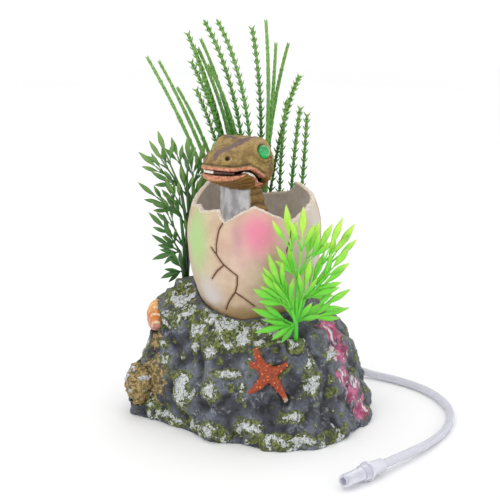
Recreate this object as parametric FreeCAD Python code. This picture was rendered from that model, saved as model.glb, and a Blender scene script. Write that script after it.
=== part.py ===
"""Bubbling aquarium ornament: a baby dinosaur hatches from an egg set in a painted rock.

Air comes in through a clear tube at the back, rises inside the hatchling and leaves through its
throat. The hollow skull catches the bubbles, lifts on its hinge, lets them go and drops shut.

Millimetres, +Z up. The front faces -Y and +X is on the right. All places below are measured
from the egg's axis at floor level, and each piece is moved by BASE_SHIFT as it is saved, so
the part's origin is the middle of the base on the floor.
"""
import math
import os

import FreeCAD, Part
from FreeCAD import Vector

# ---- driving dimensions -----------------------------------------------------------------
BASE_SHIFT = Vector(2.0, -0.3, 0.0)  # from the egg's axis to the middle of the base
GLUE = 0.25  # glue line between a seat and the curved piece set in it
PIN_CLEARANCE = 0.05  # radial clearance of the skull on its hinge pin

BASE_LEFT, BASE_RIGHT = 62.0, 59.5  # reach of the rock's foot from the egg's axis
BASE_FRONT, BASE_BACK = 52.0, 51.5
CAVITY_WALL = 8.5  # thickness of the rock around the hollow underneath
CAVITY_HEIGHT = 31.5

EGG_BOTTOM, EGG_MIDDLE, EGG_TOP = 39.0, 93.0, 133.0
EGG_RADIUS = 32.8
EGG_WALL = 2.4

HEAD_CENTRE = Vector(-6.8, 0.0, 0.0)  # point between the eyes, in plan
HEAD_YAW = math.radians(233.0)  # the way the snout points, from +X
HEAD_WALL = 3.0
HINGE_FORWARD, HINGE_HEIGHT = -7.5, 120.0  # the jaw joint, in the head's own directions
KNUCKLE_RADIUS = 3.5
CHEEK_RADIUS = 4.8
CHEEK_INSIDE = 10.0  # the cheeks hang outside this half width
PIN_RADIUS, PIN_HALF_LENGTH = 1.0, 12.6

TUBE_RADIUS = 2.0  # 4 mm soft airline
TUBE_FLOOR_Z = 2.2  # height of the tube's middle where it lies on the floor
FLANGE_RADIUS, SPIGOT_RADIUS, SPIGOT_BORE = 4.3, 2.95, 1.7  # of the push-in adaptor
INLET = Vector(34.0, 49.0, 7.0)  # outer face of the grommet, where the tube comes out
INLET_WAY = Vector(1.0, 1.0, 0.0).normalize()  # the way the tube leaves the rock
GROMMET_LENGTH, GROMMET_RADIUS = 12.0, 3.8
RISER_PLACE = Vector(-6.7, 1.1, 0.0)
RISER_TOP = 112.0
THROAT_TOP = 121.5  # top of the air nozzle

EYE_RADIUS = 3.4
NOZZLE_RADIUS = 2.6

# The shell and the sponge glued in the rock's left side: middle and half sizes.
SHELL_LUMPS = {
    "orange_seashell": ((-48.5, 3.0, 50.0), (5.0, 8.0, 8.0)),
    "sponge_lump": ((-56.5, -2.0, 16.5), (8.0, 9.0, 11.0)),
}

LEAF_THICKNESS = 1.2
NEEDLE_STEP = 9.0  # spacing of the needle pairs along a rear frond

ROOT_DEPTH = 3.0  # how far a stem goes down into its plug

STAR_PLACE = Vector(6.0, -44.2, 35.8)  # middle of the starfish's back, let into the rock
STAR_THICKNESS = 4.2
STAR_LEAN = 14.0  # degrees back from upright, as the rock's face leans

# The rock's foot seen from above, and how far it reaches at each height.
FOOT = (
    (59.5, 0), (60, 12), (58.5, 26), (50, 39), (33, 48), (10, 51.5), (-15, 50.5), (-38, 43),
    (-54, 28), (-61.5, 11), (-61, -4), (-51, -11), (-40.5, -19.5), (-28.6, -31.5),
    (-19, -41), (-7, -43.5), (0, -48), (11.7, -52), (23, -50.5), (34, -45), (42, -37),
    (46.5, -28), (52.5, -21), (57, -10),
)
# height, reach to the left, right, front and back
ROCK_LEVELS = (
    (0, 61.5, 59.5, 52, 51.5),
    (7, 63.5, 59, 52, 51.5),
    (14, 64, 56, 51, 50.5),
    (23, 61.5, 53.8, 49.5, 49),
    (33, 54.5, 50.8, 47, 46.5),
    (41, 52.2, 46.2, 43.5, 47.5),
    (48, 51, 41, 38, 46.5),
    (54, 51, 35, 31, 45.5),
    (60, 46.5, 29, 21, 43),
    (65, 41, 23, 11, 36),
    (68, 36, 19, 6, 30),
)
# The broken edge of the shell: angle about the egg's axis from +X, and height.
EGG_RIM = (
    (0, 112), (16, 112.5), (34, 115.5), (50, 110), (64, 108.5), (80, 107.5), (96, 109.5),
    (111, 108), (128, 112), (147, 118), (160, 113.5), (172, 109.5), (189, 107.5),
    (204, 109), (216, 107), (235, 108.5), (243, 103), (256, 107.5), (270, 111),
    (287, 107), (302, 103), (318, 106.5), (333, 109), (347, 110),
)
# The head, section by section: forward, half width, chin, widest level, crown.
HEAD_SECTIONS = (
    (-14.0, 5.0, 124.0, 128.0, 132.0),
    (-12.5, 9.5, 118.0, 127.5, 136.0),
    (-8.0, 13.8, 114.2, 127.5, 138.6),
    (-2.0, 15.4, 113.6, 128.0, 140.6),
    (4.0, 14.4, 114.8, 127.0, 140.0),
    (10.0, 12.4, 117.2, 125.8, 137.2),
    (15.5, 10.4, 118.8, 125.2, 135.2),
    (19.5, 7.6, 119.8, 125.2, 133.4),
    (21.8, 3.6, 121.6, 125.4, 130.0),
)
# The mouth seen from the side: forward, height. The jaw's lip runs below the skull's lip.
SKULL_LIP = ((26, 126.5), (16.5, 125.5), (9, 126.0), (5, 123.9), (0.5, 120.9), (-4, 120.4))
JAW_LIP = ((26, 124.4), (17.5, 123.8), (11, 124.6), (6, 122.5), (3.4, 120.0), (-1.0, 118.6))

REAR_ROOT_Y = 38.0
REAR_FLOOR = 60.0  # top of the rear plugs
REAR_PLUGS = {"rear_plant_plug_left": (-3.0, 7.5), "rear_plant_plug_right": (17.0, 5.5)}
REAR_PLUG_HALF_DEPTH, REAR_PLUG_HEIGHT = 3.2, 7.0
WELL_FLARE = 4.0  # the well is this much wider above a rear plug, for the leaning fronds
# root across and its forward offset, then the bend point and the tip as across and height
REAR_FRONDS = (
    (-8.0, 2.6, (-22.0, 119.0), (-53.8, 175.3)),
    (-7.0, -2.6, (-18.0, 117.0), (-48.3, 172.8)),
    (-5.6, 0.0, (-11.6, 132.0), (-33.4, 187.7)),
    (-4.0, 1.3, (-5.5, 147.0), (-24.8, 193.2)),
    (-2.4, -1.3, (-0.4, 149.0), (-18.3, 193.2)),
    (-0.6, 0.0, (5.4, 142.0), (-1.2, 190.2)),
    (1.0, 2.6, (10.0, 142.0), (5.8, 193.2)),
    (2.4, -2.6, (4.4, 137.0), (17.0, 181.8)),
    (13.6, 0.0, (11.6, 119.0), (16.7, 152.6)),
    (17.0, 1.6, (18.5, 117.0), (23.4, 150.1)),
    (20.4, 0.0, (25.4, 112.0), (27.0, 146.5)),
)

LEFT_ROOT = Vector(-35.0, 19.0, 62.0)  # middle of the left plug's top
LEFT_PLUG_RADIUS, LEFT_PLUG_HEIGHT = 5.5, 8.0
LEFT_LEAF_WIDTH = 4.4
# forward offset, stem places and (stem index, leaf tip), all from the root
LEFT_SPRIGS = (
    (-3.8, ((-1.0, 8.0), (-2.5, 18.0)), ((0, (-12.6, 4.1)), (1, (-16.5, 14.5)), (1, (-16.7, 27.5)))),
    (-1.9, ((-0.5, 20.0), (-2.0, 36.0)), ((0, (-18.6, 37.3)), (1, (-16.9, 44.9)), (1, (-23.8, 52.5)))),
    (0.0, ((1.0, 30.0), (-2.0, 50.0)), ((1, (-16.6, 58.6)), (1, (-23.4, 67.6)), (1, (-12.8, 79.1)))),
    (1.9, ((2.0, 34.0), (1.0, 54.0)), ((1, (-6.4, 75.6)), (1, (1.5, 75.6)), (0, (-10.0, 56.0)))),
    (3.8, ((3.0, 36.0), (4.5, 52.0)), ((1, (10.0, 73.1)), (0, (-2.0, 62.0)), (1, (3.5, 70.0)))),
)

FRONT_ROOT = Vector(19.1, -38.0, 49.0)  # middle of the front plug's top
FRONT_PLUG_RADIUS, FRONT_PLUG_HEIGHT = 4.2, 6.0
FRONT_LEAF_WIDTH = 5.0
# the same for the front plant
FRONT_SPRIGS = (
    (-1.6, ((0.0, 8.5), (-2.0, 16.0)),
     ((0, (-20.4, 16.0)), (0, (-19.4, 5.5)), (1, (-20.0, 26.0)), (1, (-13.1, 43.0)))),
    (0.0, ((0.0, 9.5), (0.5, 30.0)),
     ((0, (-15.8, 33.0)), (1, (-9.4, 46.0)), (1, (-5.0, 65.0)), (1, (2.7, 64.5)),
      (1, (10.5, 56.6)), (1, (16.4, 56.0)))),
    (1.6, ((0.0, 9.0), (4.0, 20.0)),
     ((0, (25.4, 15.2)), (0, (25.7, 24.3)), (1, (20.1, 25.7)), (1, (24.0, 36.6)),
      (1, (24.3, 45.0)), (1, (20.9, 59.0)))),
)

# The free tube from the grommet down to the floor and around to the adaptor.
TUBE_ROUTE = (
    (40, 55, 7), (48.6, 58, 5.4), (57.5, 56.6, 3.6), (67.5, 51.2, TUBE_FLOOR_Z),
    (80, 41.8, TUBE_FLOOR_Z), (91.3, 27.6, TUBE_FLOOR_Z), (97.9, 9.5, TUBE_FLOOR_Z),
    (98.5, -8.5, TUBE_FLOOR_Z), (93, -28, TUBE_FLOOR_Z), (82.5, -46, TUBE_FLOOR_Z),
    (68.3, -64.5, FLANGE_RADIUS),
)
TUBE_END = Vector(55.9, -76.5, FLANGE_RADIUS)  # the adaptor lies on its flange
ADAPTOR_TIP = Vector(37.3, -94.5, FLANGE_RADIUS)


# ---- small builders ---------------------------------------------------------------------
def closed_curve(points):
    """A smooth closed wire through the points."""
    curve = Part.BSplineCurve()
    curve.interpolate([Vector(*p) for p in points], PeriodicFlag=True)
    return Part.Wire(curve.toShape())


def box(low, high):
    """A box between two corners."""
    return Part.makeBox(*(h - l for l, h in zip(low, high)), Vector(*low))


def cylinder_between(start, end, radius, end_radius=None):
    """A rod between two points, tapered when end_radius is given."""
    axis = end - start
    if end_radius is None or abs(end_radius - radius) < 1e-6:
        return Part.makeCylinder(radius, axis.Length, start, axis)
    return Part.makeCone(radius, end_radius, axis.Length, start, axis)


def polygon(points):
    """A flat face with straight sides."""
    corners = [Vector(*p) for p in points]
    return Part.Face(Part.makePolygon(corners + corners[:1]))


def biggest(shape):
    """The largest solid of a shape, so that no crumbs of a cut stay in a node."""
    return max(shape.Solids, key=lambda solid: solid.Volume)


def ellipsoid(centre, across, along, top, bottom):
    """An ellipsoid in two halves, with its own height above and below its centre."""
    halves = []
    for height, sign in ((top, 1), (bottom, -1)):
        half_ball = Part.makeSphere(1.0, Vector(), Vector(0, 0, 1), 0, 90, 360).toNurbs()
        matrix = FreeCAD.Matrix()
        matrix.scale(across, along, height)
        if sign < 0:
            matrix.rotateX(math.pi)
        matrix.move(centre)
        halves.append(half_ball.transformGeometry(matrix))
    return halves[0].fuse(halves[1]).removeSplitter()


# ---- rock -------------------------------------------------------------------------------
def rock_section(height, left, right, front, back, inset=0.0):
    """The rock's outline at one height: the foot's outline drawn out to the given reaches."""
    points = []
    for x, y in FOOT:
        across = (left - inset) / BASE_LEFT if x < 0 else (right - inset) / BASE_RIGHT
        along = (front - inset) / BASE_FRONT if y < 0 else (back - inset) / BASE_BACK
        points.append((x * across, y * along, height))
    return closed_curve(points)


def make_rock_blank():
    """The rock's outer form, before anything is let into it."""
    return Part.makeLoft([rock_section(*level) for level in ROCK_LEVELS], True, False)


def make_cavity():
    """The hollow under the rock, drawn in towards its roof."""
    levels = [
        (-1.0, 0.0), (CAVITY_HEIGHT * 0.35, 1.5), (CAVITY_HEIGHT * 0.75, 7.0), (CAVITY_HEIGHT, 14.0),
    ]
    low = ROCK_LEVELS[0]
    wires = [rock_section(z, *low[1:], inset=CAVITY_WALL + extra) for z, extra in levels]
    return Part.makeLoft(wires, True, False)


# ---- egg --------------------------------------------------------------------------------
def egg_solid(offset=0.0):
    """The whole egg, grown or shrunk by offset."""
    radius = EGG_RADIUS + offset
    top = EGG_TOP - EGG_MIDDLE + offset
    bottom = EGG_MIDDLE - EGG_BOTTOM + offset
    return ellipsoid(Vector(0, 0, EGG_MIDDLE), radius, radius, top, bottom)


def make_crown():
    """A solid of all that lies below the shell's broken edge."""
    reach = 1.6 * EGG_RADIUS
    middle_height = 100.0
    rim = []
    for degrees, height in EGG_RIM:
        angle = math.radians(degrees)
        level = height - EGG_MIDDLE
        shell_radius = EGG_RADIUS * math.sqrt(1.0 - (level / (EGG_TOP - EGG_MIDDLE)) ** 2)
        steep = reach / shell_radius
        outer_height = middle_height + (height - middle_height) * steep
        rim.append(Vector(reach * math.cos(angle), reach * math.sin(angle), outer_height))
    foot = [Vector(p.x, p.y, 0.0) for p in rim]
    middle = Vector(0, 0, middle_height)
    faces = [polygon(foot)]
    for i in range(len(rim)):
        j = (i + 1) % len(rim)
        faces.append(polygon((rim[i], rim[j], middle)))
        faces.append(polygon((foot[i], foot[j], rim[j], rim[i])))
    return Part.makeSolid(Part.makeShell(faces))


def make_egg_shell(riser_hole):
    """The open shell with its jagged rim and the hole that the riser comes through."""
    shell = egg_solid().cut(egg_solid(-EGG_WALL))
    return biggest(shell.common(make_crown()).cut(riser_hole))


# ---- hatchling --------------------------------------------------------------------------
def head_point(forward, left, height):
    """A place given in the head's own directions."""
    cos, sin = math.cos(HEAD_YAW), math.sin(HEAD_YAW)
    return HEAD_CENTRE + Vector(forward * cos - left * sin, forward * sin + left * cos, height)


def head_section(forward, half_width, chin, middle, crown, inset):
    """One upright section of the head, a rounded diamond standing across the snout."""
    points = []
    steps = 16
    for i in range(steps):
        turn = 2 * math.pi * i / steps
        cos, sin = math.cos(turn), math.sin(turn)
        side = math.copysign(abs(cos) ** 0.85, cos) * max(half_width - inset, 0.8)
        rise = (crown - middle - inset) if sin > 0 else (middle - chin - inset)
        height = middle + math.copysign(abs(sin) ** 0.85, sin) * max(rise, 0.8)
        points.append(tuple(head_point(forward, side, height)))
    return closed_curve(points)


def head_blank(inset=0.0):
    """The whole head, skull and jaw in one, shrunk by inset."""
    shrink = 1.0 - inset / 18.0
    wires = [
        head_section(forward * shrink + (1.0 - shrink) * 4.0, width, chin, middle, crown, inset)
        for forward, width, chin, middle, crown in HEAD_SECTIONS
    ]
    return Part.makeLoft(wires, True, False)


def side_prism(outline, half_width=30.0, inner_half=0.0):
    """A prism across the head, its outline given as forward and height."""
    face = polygon([head_point(a, -half_width, z) for a, z in outline])
    prism = face.extrude(head_point(0, half_width, 0) - head_point(0, -half_width, 0))
    if inner_half > 0:
        prism = prism.cut(side_prism([(-40, 90), (40, 90), (40, 160), (-40, 160)], inner_half))
    return prism


def hinge_cylinder(radius, half_length):
    """A cylinder about the jaw joint."""
    start = head_point(HINGE_FORWARD, -half_length, HINGE_HEIGHT)
    end = head_point(HINGE_FORWARD, half_length, HINGE_HEIGHT)
    return cylinder_between(start, end, radius)


def between_cheeks(half_width, radius):
    """The two parts of a hinge cylinder that lie outside half_width."""
    return hinge_cylinder(radius, 20.0).cut(hinge_cylinder(radius + 1, half_width))


def make_skull():
    """The upper head: a hollow bell that hangs its cheeks over the jaw joint."""
    above_lip = side_prism(
        list(SKULL_LIP) + [(HINGE_FORWARD, HINGE_HEIGHT + 1), (-30, HINGE_HEIGHT + 1), (-30, 160), (26, 160)]
    )
    skull = head_blank().common(above_lip.fuse(between_cheeks(CHEEK_INSIDE, CHEEK_RADIUS)))
    skull = skull.cut(hinge_cylinder(CHEEK_RADIUS + 0.5, CHEEK_INSIDE))
    bell_floor = [(HINGE_FORWARD - 3.8, 110), (17, 110), (17, 128), (12, 134), (-6, 136.5), (-10, 132)]
    bell = head_blank(HEAD_WALL).common(side_prism(bell_floor, 9.6))
    nape = side_prism([(-30, 110), (HINGE_FORWARD, 110), (HINGE_FORWARD, 124.5), (-30, 124.5)], CHEEK_INSIDE)
    skull = skull.cut(bell).cut(nape)
    skull = skull.cut(hinge_cylinder(PIN_RADIUS + PIN_CLEARANCE, PIN_HALF_LENGTH + 0.3))
    return biggest(skull)


def eye(side, radius):
    """An eye bead, mostly sunk in the side of the skull."""
    return Part.makeSphere(radius, head_point(0.0, side * 13.4, 133.6))


def make_jaw(teeth, bore):
    """The fixed lower jaw with the knuckle that carries the hinge pin."""
    below_lip = side_prism(
        list(JAW_LIP)
        + [(HINGE_FORWARD, 118.6), (HINGE_FORWARD - 2.5, 116.8), (-22, 109.5), (-22, 100), (26, 100)]
    )
    jaw = head_blank().common(below_lip)
    jaw = jaw.cut(between_cheeks(CHEEK_INSIDE - 0.4, CHEEK_RADIUS + 0.4))
    jaw = jaw.fuse(hinge_cylinder(KNUCKLE_RADIUS, CHEEK_INSIDE - 0.5))
    jaw = jaw.cut(hinge_cylinder(PIN_RADIUS, PIN_HALF_LENGTH))
    return biggest(jaw.cut(teeth).cut(bore))


def make_hatchling_body(jaw_seat, bore):
    """Belly and neck in one piece, standing in the bottom of the shell."""
    levels = (
        (45.5, 0.0, 0.0, 11.2, 11.2),
        (50.0, -0.3, 0.0, 15.6, 15.6),
        (58.0, -1.0, 0.0, 20.5, 19.5),
        (78.0, -1.5, 0.5, 20.5, 19.0),
        (94.0, -3.5, 1.5, 15.5, 14.0),
        (104.0, -5.0, 2.0, 11.4, 10.6),
        (112.0, -6.0, 2.2, 10.2, 9.4),
        (119.0, -6.0, 2.0, 9.4, 9.0),
    )
    wires = []
    for z, x, y, across, along in levels:
        ring = []
        for i in range(12):
            turn = 2 * math.pi * i / 12
            ring.append((x + across * math.cos(turn), y + along * math.sin(turn), z))
        wires.append(closed_curve(ring))
    body = Part.makeLoft(wires, True, False)
    return biggest(body.cut(jaw_seat).cut(bore))


# ---- air line ---------------------------------------------------------------------------
def rounded_path(points, share=0.45):
    """Straight runs joined by tangent arcs, each as large as its two runs allow."""
    edges = []
    start = points[0]
    for before, corner, after in zip(points, points[1:], points[2:]):
        into = (corner - before).normalize()
        out = (after - corner).normalize()
        turn = into.getAngle(out)
        shorter = min((corner - before).Length, (after - corner).Length)
        setback = share * shorter
        radius = setback / math.tan(turn / 2)
        print("bend radius %.1f mm, turn %.0f degrees" % (radius, math.degrees(turn)))
        first = corner - into * setback
        last = corner + out * setback
        bisector = (out - into).normalize()
        centre = corner + bisector * (radius / math.cos(turn / 2))
        middle = centre - bisector * radius
        edges.append(Part.makeLine(start, first))
        edges.append(Part.Arc(first, middle, last).toShape())
        start = last
    edges.append(Part.makeLine(start, points[-1]))
    return Part.Wire(edges)


def tube_along(wire, radius):
    """A round cord swept along a wire; the tube's own bore is left out."""
    start = wire.OrderedVertexes[0].Point
    tangent = wire.OrderedEdges[0].tangentAt(wire.OrderedEdges[0].FirstParameter)
    outer = Part.Wire(Part.makeCircle(radius, start, tangent))
    return wire.makePipeShell([outer], True, False, 2)


def make_air_tube():
    """The free tube, from the grommet's face around to the adaptor."""
    points = [INLET] + [Vector(*place) for place in TUBE_ROUTE]
    points.append(TUBE_END)
    wire = rounded_path(points)
    tube = tube_along(wire, TUBE_RADIUS)
    expected = math.pi * TUBE_RADIUS ** 2 * wire.Length
    print("air tube length %.1f mm, volume ratio %.4f" % (wire.Length, tube.Volume / expected))
    return tube


def make_adaptor():
    """The stepped push-in adaptor on the tube's free end."""
    length = (ADAPTOR_TIP - TUBE_END).Length
    along = (ADAPTOR_TIP - TUBE_END).normalize()
    chamfer_start = length - 1.0
    steps = (
        (0.0, 9.0, 3.0, 3.4),
        (9.0, 11.0, FLANGE_RADIUS, FLANGE_RADIUS),
        (11.0, 14.0, 3.6, 3.6),
        (14.0, chamfer_start, SPIGOT_RADIUS, SPIGOT_RADIUS),
        (chamfer_start, length, SPIGOT_RADIUS, SPIGOT_RADIUS - 0.5),
    )
    adaptor = None
    for near, far, near_radius, far_radius in steps:
        ends = (TUBE_END + along * near, TUBE_END + along * far)
        piece = cylinder_between(*ends, near_radius, far_radius)
        adaptor = piece if adaptor is None else adaptor.fuse(piece)
    bore = cylinder_between(ADAPTOR_TIP - along * 9.0, ADAPTOR_TIP + along, SPIGOT_BORE)
    return biggest(adaptor.removeSplitter().cut(bore))


def riser_path():
    """The tube's inner route: in through the wall, along under the roof and up the neck."""
    entry = INLET - INLET_WAY * (GROMMET_LENGTH + 8.0)
    under = RISER_PLACE + Vector(0, 0, 9.0)
    top = RISER_PLACE + Vector(0, 0, RISER_TOP)
    return rounded_path([INLET, entry, under, top])


# ---- sea life on the rock ---------------------------------------------------------------
def make_starfish(grow=0.0):
    """Five uneven arms lying against the front of the rock."""
    arms = ((-5.5, 11.9), (9.1, 4.8), (8.8, -13.1), (-9.1, -9.2), (-8.7, 4.3))
    outline = []
    for i, (across, up) in enumerate(arms):
        next_across, next_up = arms[(i + 1) % len(arms)]
        length = math.hypot(across, up)
        tip_side = Vector(up, -across, 0).normalize() * (1.0 + grow)
        tip = Vector(across, up, 0) * ((length + grow) / length)
        outline += [tip - tip_side, tip + tip_side]
        notch = Vector(across / length + next_across / math.hypot(next_across, next_up),
                       up / length + next_up / math.hypot(next_across, next_up), 0).normalize()
        outline.append(notch * (3.3 + grow))
    face = polygon([(p.x, 0, p.y) for p in outline])
    plate = face.extrude(Vector(0, STAR_THICKNESS + grow * 40, 0))
    plate.translate(Vector(0, -STAR_THICKNESS - grow * 40, 0))
    plate.rotate(Vector(), Vector(1, 0, 0), -STAR_LEAN)
    plate.translate(STAR_PLACE)
    return plate


# ---- plants -----------------------------------------------------------------------------
def plate_in_plane(outline, root):
    """A thin upright plate facing the front; its outline is across and up from the root."""
    face = polygon([(x, 0, z) for x, z in outline])
    plate = face.extrude(Vector(0, LEAF_THICKNESS, 0))
    plate.translate(root - Vector(0, LEAF_THICKNESS / 2, 0))
    return plate


def frond_outline(bend, tip):
    """A needle frond: a bowed stem with a pair of forward hooks every few millimetres."""
    length = bend.Length + (tip - bend).Length
    count = int(length / NEEDLE_STEP)
    left, right = [], []
    for i in range(count + 1):
        t = i / count
        place = bend * (2 * t * (1 - t)) + tip * (t * t)
        ahead = (bend * (1 - 2 * t) + tip * t).normalize()
        side = Vector(-ahead.y, ahead.x, 0)
        half = 1.1 * (1 - t) + 0.5
        has_hooks = 1 < i < count
        for branch, sign in ((left, 1), (right, -1)):
            branch.append(place + side * (sign * half))
            if has_hooks:
                branch.append(place + side * (sign * (half + 2.6)) + ahead * 3.6)
                branch.append(place + side * (sign * half) + ahead * 2.2)
    point = tip + (tip - bend).normalize() * 2.0
    return [(p.x, p.y) for p in left + [point] + right[::-1]]


def strip_outline(start, end, profile):
    """A flat strip from start to end; profile gives its half width at shares of its length."""
    along = end - start
    side = Vector(-along.y, along.x, 0).normalize()
    left = [start + along * share + side * half for share, half in profile]
    right = [start + along * share - side * half for share, half in profile]
    return [(p.x, p.y) for p in left + right[::-1]]


def make_sprig(root, stem, leaves, leaf_width):
    """A flat sprig: a stem through the given places and one lance-shaped leaf to each tip."""
    stem_profile = ((0.0, 0.75), (1.0, 0.75))
    leaf_profile = tuple((share, leaf_width * part / 2)
                         for share, part in ((0.0, 0.3), (0.3, 0.35), (0.62, 1.0), (1.0, 0.12)))
    plates = []
    previous = Vector(0.0, -ROOT_DEPTH, 0.0)
    for place in (Vector(*point, 0) for point in stem):
        beyond = place + (place - previous).normalize() * 0.6
        plates.append(plate_in_plane(strip_outline(previous, beyond, stem_profile), root))
        previous = place
    for index, tip in leaves:
        outline = strip_outline(Vector(*stem[index], 0), Vector(*tip, 0), leaf_profile)
        plates.append(plate_in_plane(outline, root))
    return plates[0].multiFuse(plates[1:]).removeSplitter()


def make_rear_plants():
    """Two plugs behind the egg and the needle fronds that stand in them."""
    nodes = {}
    for name, (x, half_length) in REAR_PLUGS.items():
        low = (x - half_length, REAR_ROOT_Y - REAR_PLUG_HALF_DEPTH, REAR_FLOOR - REAR_PLUG_HEIGHT)
        high = (x + half_length, REAR_ROOT_Y + REAR_PLUG_HALF_DEPTH, REAR_FLOOR)
        nodes[name] = box(low, high)
    for number, (x, forward, bend, tip) in enumerate(REAR_FRONDS, 1):
        root = Vector(x, REAR_ROOT_Y - forward, REAR_FLOOR - ROOT_DEPTH)
        bend_from_root = Vector(bend[0] - x, bend[1] - root.z, 0)
        tip_from_root = Vector(tip[0] - x, tip[1] - root.z, 0)
        frond = plate_in_plane(frond_outline(bend_from_root, tip_from_root), root)
        nodes["rear_frond_%d" % number] = frond
        for name in REAR_PLUGS:
            nodes[name] = nodes[name].cut(frond)
    return nodes


def make_leafy_plant(name, root, plug_radius, plug_height, sprigs, leaf_width):
    """A round plug and the flat sprigs that stand in it, one behind the other."""
    plug = Part.makeCylinder(plug_radius, plug_height, root - Vector(0, 0, plug_height - 1.0))
    nodes = {}
    for number, (forward, stem, leaves) in enumerate(sprigs, 1):
        sprig = make_sprig(root + Vector(0, forward, 0), stem, leaves, leaf_width)
        nodes["%s_sprig_%d" % (name, number)] = sprig
        plug = plug.cut(sprig)
    nodes[name + "_plug"] = plug
    return nodes


def plug_wells():
    """What is taken out of the rock so that the plugs can be let in from above."""
    wells = []
    for x, half_length in REAR_PLUGS.values():
        low = (x - half_length, REAR_ROOT_Y - REAR_PLUG_HALF_DEPTH, REAR_FLOOR - REAR_PLUG_HEIGHT)
        high = (x + half_length, REAR_ROOT_Y + REAR_PLUG_HALF_DEPTH, REAR_FLOOR + 30.0)
        wells.append(box(low, high))
        flare = Vector(*low) + Vector(-WELL_FLARE, 0, REAR_PLUG_HEIGHT)
        wells.append(box(tuple(flare), (high[0] + WELL_FLARE, high[1], high[2])))
    for root, radius, height in (
        (LEFT_ROOT, LEFT_PLUG_RADIUS, LEFT_PLUG_HEIGHT),
        (FRONT_ROOT, FRONT_PLUG_RADIUS, FRONT_PLUG_HEIGHT),
    ):
        wells.append(Part.makeCylinder(radius + 0.05, 30.0, root - Vector(0, 0, height - 1.0)))
    return wells


# ---- assembly ---------------------------------------------------------------------------
def make_air_nozzle():
    """The jet at the top of the riser, in the hatchling's throat."""
    base = RISER_PLACE + Vector(0, 0, RISER_TOP)
    height = THROAT_TOP - RISER_TOP
    cone_base = base + Vector(0, 0, height - 3.0)
    nozzle = Part.makeCylinder(NOZZLE_RADIUS, height - 3.0, base)
    nozzle = nozzle.fuse(Part.makeCone(NOZZLE_RADIUS, 1.6, 3.0, cone_base))
    return nozzle.cut(Part.makeCylinder(0.9, height + 1.0, base))


def make_air_parts():
    """Everything that carries air, and the holes that it needs."""
    nodes = {
        "inner_air_tube": tube_along(riser_path(), TUBE_RADIUS),
        "air_nozzle": make_air_nozzle(),
        "air_tube": make_air_tube(),
        "airline_connector": make_adaptor(),
    }
    grommet_start = INLET - INLET_WAY * GROMMET_LENGTH
    grommet = cylinder_between(grommet_start, INLET, GROMMET_RADIUS)
    grommet_bore = cylinder_between(grommet_start, INLET, TUBE_RADIUS + 0.05)
    nodes["inlet_grommet"] = grommet.cut(grommet_bore)
    hole_ends = (grommet_start - INLET_WAY * 4.0, INLET + INLET_WAY * 12.0)
    grommet_hole = cylinder_between(*hole_ends, GROMMET_RADIUS + 0.05)

    riser_foot = RISER_PLACE + Vector(0, 0, CAVITY_HEIGHT - 6.0)
    riser_hole = Part.makeCylinder(TUBE_RADIUS + 0.1, RISER_TOP - riser_foot.z + 0.3, riser_foot)
    nozzle_hole = Part.makeCylinder(NOZZLE_RADIUS + 0.1, 20.0, RISER_PLACE + Vector(0, 0, RISER_TOP))
    return nodes, grommet_hole, riser_hole, nozzle_hole


def make_head_parts(throat):
    """Skull, jaw, gums, eyes and hinge pin."""
    slim, slimmer = head_blank(0.5), head_blank(2.0)
    gums = slim.cut(slimmer)
    lower_line = [(15.5, 122.6), (15.5, 124.05), (11, 124.6), (6.4, 122.7), (6.4, 121.2), (11, 123.2)]
    upper_line = [(16.6, 124.3), (26, 124.65), (26, 126.45), (16.6, 125.45)]
    lower_teeth = gums.common(side_prism(lower_line, 30.0, 3.0))
    skull = make_skull()
    nodes = {
        "lower_teeth": lower_teeth,
        "upper_teeth": biggest(gums.common(side_prism(upper_line))),
        "lower_jaw": make_jaw(lower_teeth, throat),
        "jaw_hinge_pin": hinge_cylinder(PIN_RADIUS, PIN_HALF_LENGTH),
    }
    for side, name in ((1, "eye_left"), (-1, "eye_right")):
        nodes[name] = eye(side, EYE_RADIUS)
        skull = skull.cut(eye(side, EYE_RADIUS + GLUE))
    nodes["skull_shell"] = skull
    return nodes


def make_glued_shells():
    """The seashell and the sponge that are glued in the rock's left side, and their seats."""
    nodes, seats = {}, []
    for name, (centre, (across, along, up)) in SHELL_LUMPS.items():
        nodes[name] = ellipsoid(Vector(*centre), across, along, up, up)
        seats.append(ellipsoid(Vector(*centre), across + GLUE, along + GLUE, up + GLUE, up + GLUE))
    return nodes, seats


def build():
    """Every node by name."""
    nodes, grommet_hole, riser_hole, nozzle_hole = make_air_parts()
    throat = riser_hole.fuse(nozzle_hole)
    nodes.update(make_head_parts(throat))
    jaw_seat_side = [(-30, 115.6), (-9.0, 118.6), (26, 118.6), (26, 160), (-30, 160)]
    jaw_seat = head_blank().fuse(side_prism(jaw_seat_side))
    nodes["hatchling_body"] = make_hatchling_body(jaw_seat, throat)
    nodes["egg_shell"] = make_egg_shell(riser_hole)
    nodes.update(make_rear_plants())
    nodes.update(make_leafy_plant(
        "left_plant", LEFT_ROOT, LEFT_PLUG_RADIUS, LEFT_PLUG_HEIGHT, LEFT_SPRIGS, LEFT_LEAF_WIDTH))
    nodes.update(make_leafy_plant(
        "front_plant", FRONT_ROOT, FRONT_PLUG_RADIUS, FRONT_PLUG_HEIGHT, FRONT_SPRIGS, FRONT_LEAF_WIDTH))
    nodes["starfish"] = make_starfish()
    shells, seats = make_glued_shells()
    nodes.update(shells)

    rock = make_rock_blank().cut(make_cavity())
    for taken in [egg_solid(GLUE), riser_hole, grommet_hole, make_starfish(0.1)] + seats + plug_wells():
        rock = rock.cut(taken)
    nodes["rock_base"] = biggest(rock)
    return nodes


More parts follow.
